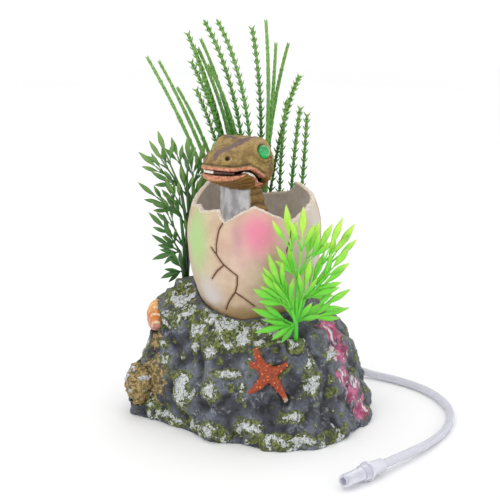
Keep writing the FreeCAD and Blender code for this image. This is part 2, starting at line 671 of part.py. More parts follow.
def main():
    """Save every node and print its size."""
    os.makedirs("parts", exist_ok=True)
    for name, shape in sorted(build().items()):
        placed = shape.copy()
        placed.translate(BASE_SHIFT)
        if not placed.isValid() or placed.Volume <= 0:
            print("problem: %s is not a valid solid" % name)
        bounds = placed.BoundBox
        print("%-24s solids %d  volume %9.1f  x %7.1f %7.1f  y %7.1f %7.1f  z %6.1f %6.1f" % (
            name, len(placed.Solids), placed.Volume, bounds.XMin, bounds.XMax,
            bounds.YMin, bounds.YMax, bounds.ZMin, bounds.ZMax))
        placed.exportStep("parts/%s.step" % name)


main()
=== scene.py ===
"""The look of the bubbling aquarium ornament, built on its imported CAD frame.

Places and sizes are millimetres measured as in the CAD, from the egg's axis at floor level; they
become metres, moved by BASE_SHIFT, when a mesh is written.
"""
import math
import random

import bmesh
import bpy
import numpy as np
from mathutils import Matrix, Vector, noise


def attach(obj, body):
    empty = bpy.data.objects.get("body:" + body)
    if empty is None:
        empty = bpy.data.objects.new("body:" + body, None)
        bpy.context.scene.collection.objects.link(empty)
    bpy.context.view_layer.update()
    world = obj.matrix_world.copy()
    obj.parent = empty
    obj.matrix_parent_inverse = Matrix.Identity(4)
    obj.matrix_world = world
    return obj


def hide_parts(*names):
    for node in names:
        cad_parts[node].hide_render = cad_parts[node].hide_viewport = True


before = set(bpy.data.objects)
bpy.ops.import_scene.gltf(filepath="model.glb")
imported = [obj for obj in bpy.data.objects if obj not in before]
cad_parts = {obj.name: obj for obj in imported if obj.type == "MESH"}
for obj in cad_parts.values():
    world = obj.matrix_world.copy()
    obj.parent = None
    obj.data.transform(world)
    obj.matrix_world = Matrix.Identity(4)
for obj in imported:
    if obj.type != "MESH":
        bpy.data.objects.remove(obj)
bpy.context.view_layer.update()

MM = 0.001
BASE_SHIFT = np.array((2, -0.3, 0))
UPRIGHT = (0, 0, 1)
INTO_DEPTH = (0, 1, 0)
BARE_PAINT = -2  # what a mask of dabbed paint says where there is none

EGG_BOTTOM, EGG_MIDDLE, EGG_TOP = 39, 93, 133
EGG_RADIUS, EGG_WALL = 32.8, 2.4
HEAD_CENTRE = np.array((-6.8, 0, 0))
HEAD_YAW = math.radians(233)
HEAD_COS, HEAD_SIN = math.cos(HEAD_YAW), math.sin(HEAD_YAW)
STAR_PLACE = np.array((6, -44.2, 35.8))
STAR_LEAN = math.radians(14)


# ---- numbers and places -----------------------------------------------------------------
def srgb(colour):
    """A display colour from 0 to 255 as the linear colour that shaders take."""
    parts = [part / 255 for part in colour]
    linear = [part / 12.92 if part <= 0.04045 else ((part + 0.055) / 1.055) ** 2.4 for part in parts]
    return (*linear, 1)


def ease(low, high, value):
    """0 at low and beyond, 1 at high and beyond, eased between."""
    share = np.clip((value - low) / (high - low), 0, 1)
    return share * share * (3 - 2 * share)


def bell(distance):
    """1 at a distance of 0, about a third at 1 and next to nothing at 2."""
    return np.exp(-(distance ** 2))


def clouds(points, size, octaves, seed):
    """Fractal noise, about -1 to 1, with features of the given size."""
    shift = Vector((seed * 13.7, seed * 7.9, seed * 3.3))
    return np.array([noise.fractal(Vector(p) + shift, 0.8, 2, octaves) for p in points / size])


def cells(points, size, seed):
    """0 on the walls between cells of the given size, rising to about 1 inside them."""
    shift = Vector((seed * 5.1, seed * 11.3, seed * 17.9))
    basis = "VORONOI_F2F1"
    return np.array([noise.noise(Vector(p) + shift, noise_basis=basis) * 0.5 + 0.5 for p in points / size])


def unit(vector):
    return vector / max(np.linalg.norm(vector), 1e-9)


def bezier(start, bend, end):
    """The curve that leaves start towards bend and ends at end, as a function of t from 0 to 1."""
    return lambda t: start * (1 - t) ** 2 + bend * (2 * t * (1 - t)) + end * (t * t)


def ring_points(centre, across, up, radius, sides, flat=1):
    """A ring of places about a centre; flat squeezes it along up."""
    turns = [2 * math.pi * k / sides for k in range(sides)]
    return [centre + radius * (math.cos(turn) * across + flat * math.sin(turn) * up) for turn in turns]


def follow(line, at):
    """The value at each place of a line given as (place, value) pairs."""
    return np.interp(at, *np.transpose(line))


def line_gap(a, b, line):
    """The distance of points (a, b) from a line of places."""
    nearest = np.full(len(a), 99)
    for (a0, b0), (a1, b1) in zip(line, line[1:]):
        step_a, step_b = a1 - a0, b1 - b0
        share = np.clip(((a - a0) * step_a + (b - b0) * step_b) / (step_a ** 2 + step_b ** 2), 0, 1)
        nearest = np.minimum(nearest, np.hypot(a - a0 - share * step_a, b - b0 - share * step_b))
    return nearest


def to_world(points):
    """Working millimetres to metres in the part's own frame."""
    return (np.asarray(points, dtype=float) + BASE_SHIFT) * MM


# ---- meshes -----------------------------------------------------------------------------
def shade_smooth(mesh):
    mesh.polygons.foreach_set("use_smooth", [True] * len(mesh.polygons))
    mesh.update()
    return mesh


def net_faces(start, rows, sides, closed=False):
    """Four-sided faces between rings in a row, whose vertices are numbered on from start."""
    faces = []
    for row in range(rows if closed else rows - 1):
        low, high = start + row * sides, start + (row + 1) % rows * sides
        faces += [(low + i, low + (i + 1) % sides, high + (i + 1) % sides, high + i) for i in range(sides)]
    return faces


def new_mesh(name, points, faces):
    """A smooth-shaded mesh from working millimetres."""
    mesh = bpy.data.meshes.new(name)
    mesh.from_pydata([tuple(p) for p in to_world(points)], [], faces)
    return shade_smooth(mesh)


def add_masks(mesh, masks):
    """Stores each mask, one number per vertex, for the material to read."""
    for name, values in masks.items():
        layer = mesh.attributes.new(name, "FLOAT", "POINT")
        layer.data.foreach_set("value", np.broadcast_to(values, len(mesh.vertices)).astype(np.float32))


def put_in_scene(name, data):
    item = bpy.data.objects.new(name, data)
    bpy.context.scene.collection.objects.link(item)
    return item


def add_piece(name, data, material, node=None, body="ornament"):
    """Puts a mesh or curve in the scene, riding on a body, in place of the node it stands for."""
    data.materials.clear()
    data.materials.append(MATERIALS[material])
    piece = put_in_scene(name, data)
    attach(piece, body)
    if node:
        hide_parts(node)
    return piece


def remesh(mesh, voxel, smoothing):
    """The same form as an even net of small faces, its corners eased."""
    scratch = put_in_scene("scratch", mesh)
    even = scratch.modifiers.new("even", "REMESH")
    even.mode = "VOXEL"
    even.voxel_size = voxel * MM
    soft = scratch.modifiers.new("soft", "SMOOTH")
    soft.factor = 0.5
    soft.iterations = smoothing
    graph = bpy.context.evaluated_depsgraph_get()
    result = bpy.data.meshes.new_from_object(scratch.evaluated_get(graph))
    bpy.data.objects.remove(scratch)
    return shade_smooth(result)


class Skin:
    """An evenly netted form whose surface can be pushed in and out and given masks."""

    # What the masks that a material reads say on a piece that doesn't name them.
    BARE = {
        "rock": {**dict.fromkeys(("lichen", "moss", "pink", "ochre"), BARE_PAINT), "painted_shade": 0, "raised": 0},
        "skin": dict.fromkeys(("stripe", "lip", "brow", "mouth", "painted_shade", "brown", "pearl"), 0),
    }

    def __init__(self, mesh, voxel, smoothing=1):
        self.mesh = remesh(mesh, voxel, smoothing)
        self.read()

    @classmethod
    def of_node(cls, node, voxel, smoothing=1):
        """The skin of a copy of a CAD node."""
        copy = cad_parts[node].data.copy()
        net = bmesh.new()
        net.from_mesh(copy)
        bmesh.ops.remove_doubles(net, verts=net.verts, dist=0.005 * MM)
        net.to_mesh(copy)
        net.free()
        return cls(copy, voxel, smoothing)

    def read(self):
        """Takes places and normals from the mesh."""
        flat = np.empty(len(self.mesh.vertices) * 3, dtype=np.float32)
        self.mesh.vertices.foreach_get("co", flat)
        self.points = flat.reshape(-1, 3).astype(float) / MM - BASE_SHIFT
        self.mesh.vertices.foreach_get("normal", flat)
        self.normals = flat.reshape(-1, 3).astype(float)

    def push(self, distance):
        """Moves every vertex along its normal, by millimetres."""
        self.points = self.points + self.normals * distance[:, None]
        self.mesh.vertices.foreach_set("co", to_world(self.points).astype(np.float32).ravel())
        self.mesh.update()
        self.read()

    def finish(self, name, material, slot, node=None, body="ornament", **masks):
        """Writes the masks and adds the piece."""
        add_masks(self.mesh, {**self.BARE.get(material, {}), **masks})
        add_piece(name, self.mesh, material, node, body)


class Loft:
    """Collects tubes and blades, each a row of rings, into one mesh."""

    def __init__(self):
        self.points, self.faces, self.shares = [], [], []

    def rings(self, rings, shares):
        """Joins the rings in a row and closes both ends; shares says how far along each ring is."""
        start = len(self.points)
        sides = len(rings[0])
        for ring, share in zip(rings, shares):
            self.points += [tuple(point) for point in ring]
            self.shares += [share] * sides
        self.faces += net_faces(start, len(rings), sides)
        last = start + (len(rings) - 1) * sides
        self.faces.append(tuple(start + i for i in reversed(range(sides))))
        self.faces.append(tuple(last + i for i in range(sides)))

    def tube(self, path, radii, sides, shares=(0, 1), flat=1, flat_way=INTO_DEPTH):
        """A round bar along a path; flat squeezes it along flat_way."""
        path = [np.asarray(place, dtype=float) for place in path]
        rings = []
        for i, (centre, radius) in enumerate(zip(path, radii)):
            ahead = unit(path[min(i + 1, len(path) - 1)] - path[max(i - 1, 0)])
            guide = np.asarray(flat_way, dtype=float)
            if abs(ahead @ guide) > 0.95:
                guide = np.array((1, 0, 0))
            across = unit(np.cross(ahead, guide))
            up = unit(np.cross(across, ahead))
            rings.append(ring_points(centre, across, up, radius, sides, flat))
        self.rings(rings, np.linspace(*shares, len(path)))

    def mesh(self, name):
        mesh = new_mesh(name, self.points, self.faces)
        add_masks(mesh, {"share": self.shares})
        return mesh


# ---- materials --------------------------------------------------------------------------
class Paint:
    """A node material written step by step; each call returns a socket for the next ones.

    Wherever a call takes a value, it can be a socket, a number, a display colour or a mask's name.
    """

    def __init__(self, name, **settings):
        self.material = bpy.data.materials.new(name)
        self.material.use_nodes = True
        self.nodes = self.material.node_tree.nodes
        self.links = self.material.node_tree.links
        self.shader = self.nodes["Principled BSDF"].inputs
        for socket, value in settings.items():
            self.feed(self.shader[socket.replace("_", " ")], value)
        self.place = self.node("TexCoord", "Object", {})

    def feed(self, socket, value):
        """Fills a socket with a value."""
        if isinstance(value, str):
            value = self.node("Attribute", "Fac", {}, attribute_name=value)
        if isinstance(value, bpy.types.NodeSocket):
            self.links.new(value, socket)
        else:
            socket.default_value = srgb(value) if socket.type == "RGBA" else value

    def node(self, kind, output, inputs, **settings):
        """Adds a node, fills its inputs and returns one of its outputs."""
        node = self.nodes.new("ShaderNode" + kind)
        for name, value in settings.items():
            setattr(node, name, value)
        for name, value in inputs.items():
            self.feed(node.inputs[name], value)
        return node.outputs[output]

    def clouds(self, size, detail=4, rough=0.55, stretch=None, twist=0):
        """Noise from 0 to 1; stretch draws it out along each direction."""
        place = self.place
        if stretch:
            scale = tuple(1 / part for part in stretch)
            place = self.node("Mapping", "Vector", {"Vector": place, "Scale": scale})
        look = {"Scale": 1 / (size * MM), "Detail": detail, "Roughness": rough, "Distortion": twist}
        return self.node("TexNoise", "Fac", {"Vector": place, **look})

    def height(self):
        """The object's own height in metres."""
        return self.node("SeparateXYZ", "Z", {"Vector": self.place})

    def scales(self, size):
        """0 between scales of the given size, rising inside them."""
        inputs = {"Vector": self.place, "Scale": 1 / (size * MM)}
        return self.node("TexVoronoi", "Distance", inputs, feature="DISTANCE_TO_EDGE")

    def sum(self, first, second, factor=1):
        """first + second x factor."""
        return self.node("Math", 0, {0: second, 1: factor, 2: first}, operation="MULTIPLY_ADD")

    def ragged(self, value, grain, reach):
        """A value that a noise moves up and down by half the reach."""
        return self.sum(value, self.sum(-0.5, grain), reach)

    def times(self, first, second):
        return self.node("Math", 0, {0: first, 1: second}, operation="MULTIPLY")

    def step(self, value, low, high, most=1):
        """0 at low and beyond, most at high and beyond, eased between."""
        inputs = {"Value": value, "From Min": low, "From Max": high, "To Max": most}
        return self.node("MapRange", "Result", inputs, interpolation_type="SMOOTHSTEP")

    def mix(self, share, first, second):
        """first where share is 0 and second where it is 1."""
        return self.node("Mix", 2, {0: share, 6: first, 7: second}, data_type="RGBA")

    def blend(self, value, low, high, first, second, most=1):
        """first where the value is at low, and as much of second as most says where it is at high."""
        return self.mix(self.step(value, low, high, most), first, second)

    def finish(self, colour, grain=None, rough=None, relief=None, depth=0, strength=1):
        """Colour, roughness between two values as the grain goes from 0 to 1, relief in millimetres."""
        self.feed(self.shader["Base Color"], colour)
        if rough:
            ends = {"Value": grain, "To Min": rough[0], "To Max": rough[1]}
            self.feed(self.shader["Roughness"], self.node("MapRange", "Result", ends))
        if relief is not None:
            inputs = {"Height": relief, "Distance": depth * MM, "Strength": strength}
            self.feed(self.shader["Normal"], self.node("Bump", "Normal", inputs))
        return self.material


def rock_material():
    """Slate-coloured painted resin with moss, lichen, magenta and ochre dabbed over it."""
    paint = Paint("painted_rock", Specular_IOR_Level=0.35)
    grain = paint.clouds(1.6, 5, 0.65)
    body = paint.blend(paint.clouds(8, 4, 0.6), 0.35, 0.68, (78, 82, 92), (108, 113, 124))
    body = paint.blend(grain, 0.54, 0.72, body, (132, 137, 146))
    body = paint.blend(grain, 0.45, 0.3, body, (62, 64, 74))
    # painted shade: darker in the rock's cracks, pits and low undersides
    body = paint.mix("painted_shade", body, (34, 34, 40))
    body = paint.mix(paint.times("raised", paint.step(grain, 0.45, 0.62)), body, (140, 145, 152))

    ochre_edge = paint.ragged("ochre", paint.clouds(3, 5, 0.6), 2.2)
    ochre = paint.blend(grain, 0.42, 0.6, (96, 82, 46), (178, 154, 104))
    body = paint.blend(ochre_edge, 0, 0.3, body, ochre)

    moss_share = paint.step(paint.ragged("moss", paint.clouds(3.6, 5, 0.62), 2.8), 0, 0.55)
    moss = paint.blend(paint.clouds(1.5), 0.4, 0.64, (62, 69, 36), (120, 129, 66))
    body = paint.mix(moss_share, body, moss)

    streaks = paint.clouds(3.4, 4, 0.55, stretch=(0.8, 0.8, 1.9), twist=0.8)
    pink_edge = paint.ragged("pink", paint.clouds(5, 4, 0.6), 2)
    pink = paint.blend(paint.clouds(4, 3), 0.42, 0.64, (164, 62, 104), (208, 122, 158))
    pink = paint.blend(streaks, 0.5, 0.55, pink, body)
    pink = paint.blend(streaks, 0.55, 0.6, pink, (220, 204, 211))
    body = paint.blend(pink_edge, -0.05, 0.6, body, pink)

    lichen_edge = paint.ragged("lichen", paint.clouds(2.3, 4, 0.58, twist=1.2), 3.6)
    lichen_edge = paint.ragged(lichen_edge, paint.clouds(0.8, 3), 0.5)
    lichen_share = paint.step(lichen_edge, 0, 0.1)
    lichen = paint.blend(paint.clouds(0.9, 3), 0.36, 0.6, (150, 155, 156), (208, 212, 211))
    body = paint.mix(lichen_share, body, lichen)

    roughness = paint.sum(grain, lichen_share, 0.3)
    relief = paint.sum(paint.sum(grain, lichen_share, 0.9), moss_share, 0.5)
    return paint.finish(body, roughness, (0.42, 0.8), relief, 0.45, 0.75)


# The colours that are airbrushed on the egg, in order, each with a mask of its own.
AIRBRUSH = {
    "lilac": (204, 196, 192), "olive": (150, 122, 80), "rose": (222, 190, 188),
    "mauve": (176, 146, 146), "green": (168, 202, 132), "pink": (228, 132, 160),
}


def egg_material():
    """Airbrushed eggshell: cream with green, pink and lilac, dark cracks, chalky broken edge."""
    paint = Paint("painted_eggshell", Specular_IOR_Level=0.4)
    speck = paint.clouds(0.9, 4, 0.65)
    shell = paint.blend(paint.clouds(11, 3, 0.5), 0.35, 0.65, (192, 165, 138), (209, 185, 157))
    drift = paint.clouds(5)
    for name, colour in AIRBRUSH.items():
        shell = paint.blend(paint.ragged(name, drift, 0.22), 0.02, 1, shell, colour)
    shell = paint.blend(speck, 0.6, 0.75, shell, (236, 228, 212), 0.35)
    shell = paint.blend(speck, 0.4, 0.27, shell, (150, 128, 96), 0.35)
    wobble = paint.ragged("crack", paint.clouds(0.8, 3), 0.35)
    shell = paint.blend(wobble, 1.6, 0.5, shell, (150, 112, 78), 0.35)
    shell = paint.blend(wobble, 0.5, 0.26, shell, (90, 62, 42))

    inner = paint.blend(paint.clouds(3.5, 5, 0.6), 0.35, 0.66, (236, 227, 217), (250, 245, 238))
    # painted shade: the inside of the shell darkens towards the bottom
    inner = paint.mix("deep_shade", inner, (226, 210, 194))
    shell = paint.mix("inner", shell, inner)
    chalk = paint.blend(speck, 0.4, 0.62, (196, 182, 166), (228, 218, 206))
    shell = paint.mix("edge", shell, chalk)
    relief = paint.sum(speck, paint.clouds(0.35, 2), 0.5)
    return paint.finish(shell, speck, (0.38, 0.62), relief, 0.1, 0.6)


def skin_material():
    """Hatchling skin: olive and ochre mottling, purple-brown stripes and salmon lips."""
    paint = Paint("hatchling_skin", Specular_IOR_Level=0.45)
    fine = paint.clouds(0.7, 4, 0.65)
    skin = paint.blend(paint.clouds(4.5, 4, 0.6), 0.38, 0.64, (124, 97, 47), (171, 143, 82))
    skin = paint.blend(paint.clouds(2, 4, 0.6), 0.55, 0.72, skin, (190, 172, 122))
    skin = paint.blend(fine, 0.5, 0.32, skin, (94, 70, 36), 0.7)
    skin = paint.mix("brown", skin, (150, 106, 44))
    skin = paint.mix("brow", skin, (178, 146, 94))
    stripe = paint.ragged("stripe", paint.clouds(2.2, 5, 0.65), 2)
    skin = paint.blend(stripe, 0.15, 0.95, skin, (106, 84, 84), 0.9)
    streaks = paint.clouds(5, 3, 0.5, stretch=(0.6, 0.6, 2))
    pearl = paint.blend(streaks, 0.4, 0.62, (190, 189, 195), (234, 234, 238))
    skin = paint.mix("pearl", skin, pearl)
    # painted shade in the nostrils, creases and folds, and low on the neck inside the shell
    skin = paint.mix("painted_shade", skin, (54, 36, 20))
    lips = paint.blend(paint.clouds(1.1, 4, 0.6), 0.35, 0.62, (176, 106, 78), (224, 158, 126))
    skin = paint.blend(paint.ragged("lip", fine, 0.5), 0.4, 0.62, skin, lips)
    # painted shade: the head's inner surfaces turn near black for the shade inside the mouth
    skin = paint.mix("mouth", skin, (26, 12, 10))
    relief = paint.sum(paint.step(paint.scales(1.15), 0, 0.22), fine, 0.8)
    return paint.finish(skin, fine, (0.36, 0.62), relief, 0.24, 0.7)


def starfish_material():
    """Orange-red resin with paler, yellower bumps."""
    paint = Paint("starfish_resin")
    grain = paint.clouds(1, 4, 0.6)
    colour = paint.blend(grain, 0.4, 0.62, (156, 56, 14), (206, 86, 26))
    colour = paint.blend(paint.sum("bump", grain, 0.3), 0.72, 0.95, colour, (224, 134, 74))
    colour = paint.mix("pale", colour, (222, 204, 178))
    # painted shade between the bumps
    colour = paint.mix("painted_shade", colour, (92, 30, 14))
    return paint.finish(colour, grain, (0.35, 0.55), grain, 0.12, 0.6)


def two_tone_material(name, dark, light, size, depth, rough=(0.4, 0.6), **settings):
    """Two colours in soft blotches with fine relief, for the small plain pieces."""
    paint = Paint(name, **settings)
    fine = paint.clouds(size * 0.3, 3)
    colour = paint.blend(paint.clouds(size, 4, 0.6), 0.36, 0.64, dark, light)
    return paint.finish(colour, fine, rough, fine, depth, 0.5)


def leaf_material(name, root, middle, tip, **settings):
    """Moulded soft plastic, running from the root's colour to the tip's, slightly mottled."""
    paint = Paint(name, **settings)
    share = paint.ragged("share", paint.clouds(6, 3, 0.5), 0.5)
    fine = paint.clouds(0.8, 3, 0.6)
    colour = paint.blend(share, 0, 0.55, root, middle)
    colour = paint.blend(share, 0.5, 1.05, colour, tip)
    colour = paint.blend(fine, 0.5, 0.3, colour, root, 0.3)
    return paint.finish(colour, fine, (0.28, 0.5), fine, 0.06, 0.5)


def shell_material():
    """The seashell: orange over pink, with pale growth lines."""
    paint = Paint("shell_resin")
    grain = paint.clouds(1.2, 4, 0.6)
    height = paint.ragged(paint.height(), paint.clouds(4), 6 * MM)
    colour = paint.blend(height, 44 * MM, 52 * MM, (208, 150, 140), (206, 122, 52))
    colour = paint.blend(height, 52 * MM, 57 * MM, colour, (224, 164, 96))
    colour = paint.blend("ridge", 0.45, 0.9, colour, (236, 204, 166))
    colour = paint.blend(grain, 0.5, 0.32, colour, (120, 66, 34), 0.6)
    return paint.finish(colour, grain, (0.3, 0.5), grain, 0.12, 0.5)


def eye_material():
    """Emerald glass bead, with painted light: darker at the top and brighter at the bottom, as if lit through
    from below.
    """
    paint = Paint("green_eye", Roughness=0.08, Coat_Weight=0.8, Coat_Roughness=0.03)
    height = paint.ragged(paint.height(), paint.clouds(2.5), 1.5 * MM)
    # painted light: bright green at the bottom and dark green at the top, for light shining through the bead
    colour = paint.blend(height, 130.5 * MM, 136.2 * MM, (12, 204, 104), (0, 132, 62))
    colour = paint.blend(paint.clouds(0.8), 0.55, 0.7, colour, (120, 240, 180), 0.25)
    return paint.finish(colour, relief=paint.clouds(1.5), depth=0.02, strength=0.3)


def tooth_material():
    """White enamel running into dark, wet gum."""
    paint = Paint("tooth_enamel")
    fine = paint.clouds(1.2, 3)
    white = paint.blend(fine, 0.35, 0.6, (206, 200, 188), (242, 240, 232))
    gum = paint.blend(fine, 0.35, 0.6, (46, 20, 16), (84, 44, 34))
    return paint.finish(paint.mix("white", gum, white), fine, (0.22, 0.4), fine, 0.05, 0.5)


def clear_material(name, tint, rough, transmission):
    """Soft clear plastic with a faint milky unevenness."""
    paint = Paint(name, Transmission_Weight=transmission, IOR=1.42)
    haze = paint.clouds(3, 3, 0.5)
    milky = [part + 6 for part in tint]
    colour = paint.blend(haze, 0.35, 0.7, tint, milky)
    return paint.finish(colour, haze, (rough, rough + 0.15), haze, 0.05, 0.4)


MATERIALS = {
    "rock": rock_material(),
    "egg": egg_material(),
    "skin": skin_material(),
    "starfish": starfish_material(),
    "shell": shell_material(),
    "eye": eye_material(),
    "tooth": tooth_material(),
    "brass": two_tone_material(
        "hinge_brass", (150, 116, 58), (196, 160, 92), 2, 0.03, rough=(0.25, 0.4), Metallic=1),
    "rubber": two_tone_material("black_rubber", (18, 18, 20), (34, 34, 36), 2, 0.08, rough=(0.6, 0.8)),
    "dark_plug": two_tone_material("dark_green_plug", (26, 52, 22), (48, 84, 38), 3, 0.1),
    "front_leaf": leaf_material(
        "front_leaf_plastic", (66, 184, 40), (104, 208, 50), (186, 240, 84),
        Subsurface_Weight=0.35, Subsurface_Radius=(0.6, 1, 0.3), Subsurface_Scale=0.002),
    "left_leaf": leaf_material("left_leaf_plastic", (30, 66, 26), (66, 118, 48), (124, 164, 84)),
    "needle": leaf_material("rear_needle_plastic", (30, 62, 24), (70, 130, 44), (128, 176, 84)),
    "needle_pale": leaf_material("rear_needle_pale", (50, 100, 36), (104, 164, 70), (140, 186, 100)),
    "tube": clear_material("clear_tube", (228, 228, 238), 0.16, 0.5),
    "fitting": clear_material("frosted_fitting", (206, 206, 220), 0.3, 0.3),
}


# ---- air line ---------------------------------------------------------------------------
INLET = (34, 49, 7)
TUBE_END = np.array((55.9, -76.5, 4.3))
ADAPTOR_TIP = np.array((37.3, -94.5, 4.3))
TUBE_ROUTE = (
    INLET, (40, 55, 7), (48.6, 58, 5.4), (57.5, 56.6, 3.6), (67.5, 51.2, 2.2), (80, 41.8, 2.2),
    (91.3, 27.6, 2.2), (97.9, 9.5, 2.2), (98.5, -8.5, 2.2), (93, -28, 2.2), (82.5, -46, 2.2),
    (68.3, -64.5, 4.3), tuple(TUBE_END),
)
TUBE_LENGTH, TUBE_DIAMETER = 190.1, 4
# The adaptor's outline from the tube to its tip and back inside its bore: (forward, radius).
ADAPTOR_PROFILE = (
    (0, 0.02), (0, 2.7), (0.35, 3), (4.4, 3.18), (4.6, 3.3), (8.6, 3.4), (9, 3.55), (9.15, 4.15),
    (9.4, 4.3), (10.6, 4.3), (10.9, 4.15), (11, 3.75), (11.2, 3.6), (13.7, 3.6), (14, 3.4),
    (14.1, 3), (14.4, 2.95), (18.2, 2.95), (18.5, 2.85), (21.6, 2.9), (24.8, 2.92), (25.5, 2.7),
    (25.88, 2.4), (25.8, 1.9), (25.2, 1.7), (17, 1.7), (16.6, 0.02),
)


def make_connector():
    """The stepped push-in adaptor, turned about the tube's last direction, with a bored tip."""
    along = unit(ADAPTOR_TIP - TUBE_END)
    across = unit(np.cross(along, UPRIGHT))
    up = np.cross(across, along)
    rings = [ring_points(TUBE_END + along * forward, across, up, radius, 48)
             for forward, radius in ADAPTOR_PROFILE]
    loft = Loft()
    loft.rings(rings, np.linspace(0, 1, len(rings)))
    mesh = loft.mesh("airline_adaptor")
    return add_piece("airline_adaptor", mesh, "fitting", "airline_connector")


def make_free_tube(connector):
    """The soft tube from the grommet around to the adaptor, lying on the floor."""
    curve = bpy.data.curves.new("airline", "CURVE")
    curve.dimensions = "3D"
    curve.bevel_depth = TUBE_DIAMETER / 2 * MM
    curve.bevel_resolution = 6
    curve.resolution_u = 12
    spline = curve.splines.new("NURBS")
    spline.points.add(len(TUBE_ROUTE) - 1)
    for point, place in zip(spline.points, TUBE_ROUTE):
        point.co = (*to_world(place), 1)
    spline.order_u = 3
    spline.use_endpoint_u = True
    tube = add_piece("airline", curve, "tube", "air_tube")


make_free_tube(make_connector())


# ---- rock -------------------------------------------------------------------------------
# Dabs of paint on the rock: middle, then half size across and up.
LICHEN_DABS = (
    ((-20, -20, 56), 3.6, 2.4), ((-11, -25, 54), 4.2, 2.8), ((-18, -26, 52), 2.4, 1.8),
    ((-30, -17, 48), 2.2, 3.4), ((-13, -32, 46), 3, 1.8), ((-6, -32, 48), 4, 2.4),
    ((-29, -21, 41), 1.8, 2.4), ((-22, -29, 41), 2.8, 2.8), ((-46, -8, 39), 2, 2),
    ((-44, -11, 31), 2, 2.8), ((-35, -24, 20), 4.4, 8), ((-29, -30, 21), 1.4, 1.8),
    ((-21, -37, 24), 3.6, 3.8), ((-6, -41, 28), 1.4, 1.4), ((-13, -38, 33), 5, 1.8),
    ((9, -33, 53), 4.2, 2.6), ((21, -40, 43), 3.4, 4.8), ((18, -50, 16), 5, 2.4),
    ((-31, -30, 5), 2.6, 2.2), ((-21, -41, 6), 4.8, 3), ((-3, -46, 10), 5.4, 2.6),
    ((8, -51, 6), 5, 2), ((21, -51, 5), 6, 1.8), ((27, -43, 30), 3.8, 4.4),
    ((2, -36, 48), 4, 1.8), ((-8, -44, 7), 2, 4), ((-53, -13, 8), 2.2, 6), ((-43, -19, 6), 1.8, 3),
    ((25, -40, 40), 3.4, 4.6), ((37, -25, 39), 5, 2.2),
)
MOSS_DABS = (
    ((-45, -9, 38), 4, 3), ((-39, -19, 25), 3, 4.4), ((23, -44, 33), 2.6, 3.6),
    ((17, -35, 49), 6, 3.4), ((38, -35, 23), 5, 4), ((39, -41, 5), 4.2, 3.6),
    ((-30, -14, 54), 4.4, 4.6), ((2, -30, 56), 11, 2.6), ((-43, -18, 7), 4.2, 4),
    ((-8, -34, 44), 13, 1.8), ((14, -52, 4), 15, 3.4), ((-17, -43, 5), 8, 3.6),
)
PINK_DABS = (
    ((37, -14, 48), 9.5, 9), ((41, -19, 38), 8, 6), ((44, -25, 27), 6, 6.5),
    ((49, -20, 19), 6.5, 8), ((52, -18, 10), 7, 8), ((29, -10, 54), 4, 4),
)
OCHRE_DABS = (((-50, -8, 20), 9, 14), ((-36, -2, 62), 8, 7), ((-50, -4, 40), 4, 7))
# Upright creases in the front face: across, bottom, top, width, depth.
CREASES = (
    (-45, 6, 28, 2.6, 2.4), (-8.5, -6, 13, 2.8, 2.2), (34.5, 3, 28, 2.2, 2.2),
    (-27, 9, 17, 5, 1.6), (18, 10, 20, 3, 1),
)
# Where other pieces are let into the rock: x, y, radius kept clear.
SEATS = ((19.1, -38, 4.4), (-35, 19, 5.8), (-3, 38, 8.5), (17, 38, 6.5), (34, 49, 5))


FOOT_HEIGHT, FOOT_BULGE = 3, 1.2  # the rock's lowest edge bulges no further than this


def egg_radius(z, wall=0):
    """The egg's radius at each height, less the wall."""
    reach = np.where(z > EGG_MIDDLE, EGG_TOP - EGG_MIDDLE, EGG_MIDDLE - EGG_BOTTOM) - wall
    level = np.clip((z - EGG_MIDDLE) / reach, -1, 1)
    return (EGG_RADIUS - wall) * np.sqrt(1 - level ** 2)


def dabs(points, places):
    """1 in the middle of a dab, 0 on its edge and -1 or less well outside."""
    field = np.full(len(points), -1.5)
    for (x, y, z), across, up in places:
        side = np.hypot(points[:, 0] - x, points[:, 1] - y) / across
        field = np.maximum(field, 1 - np.hypot(side, (points[:, 2] - z) / up))
    return field


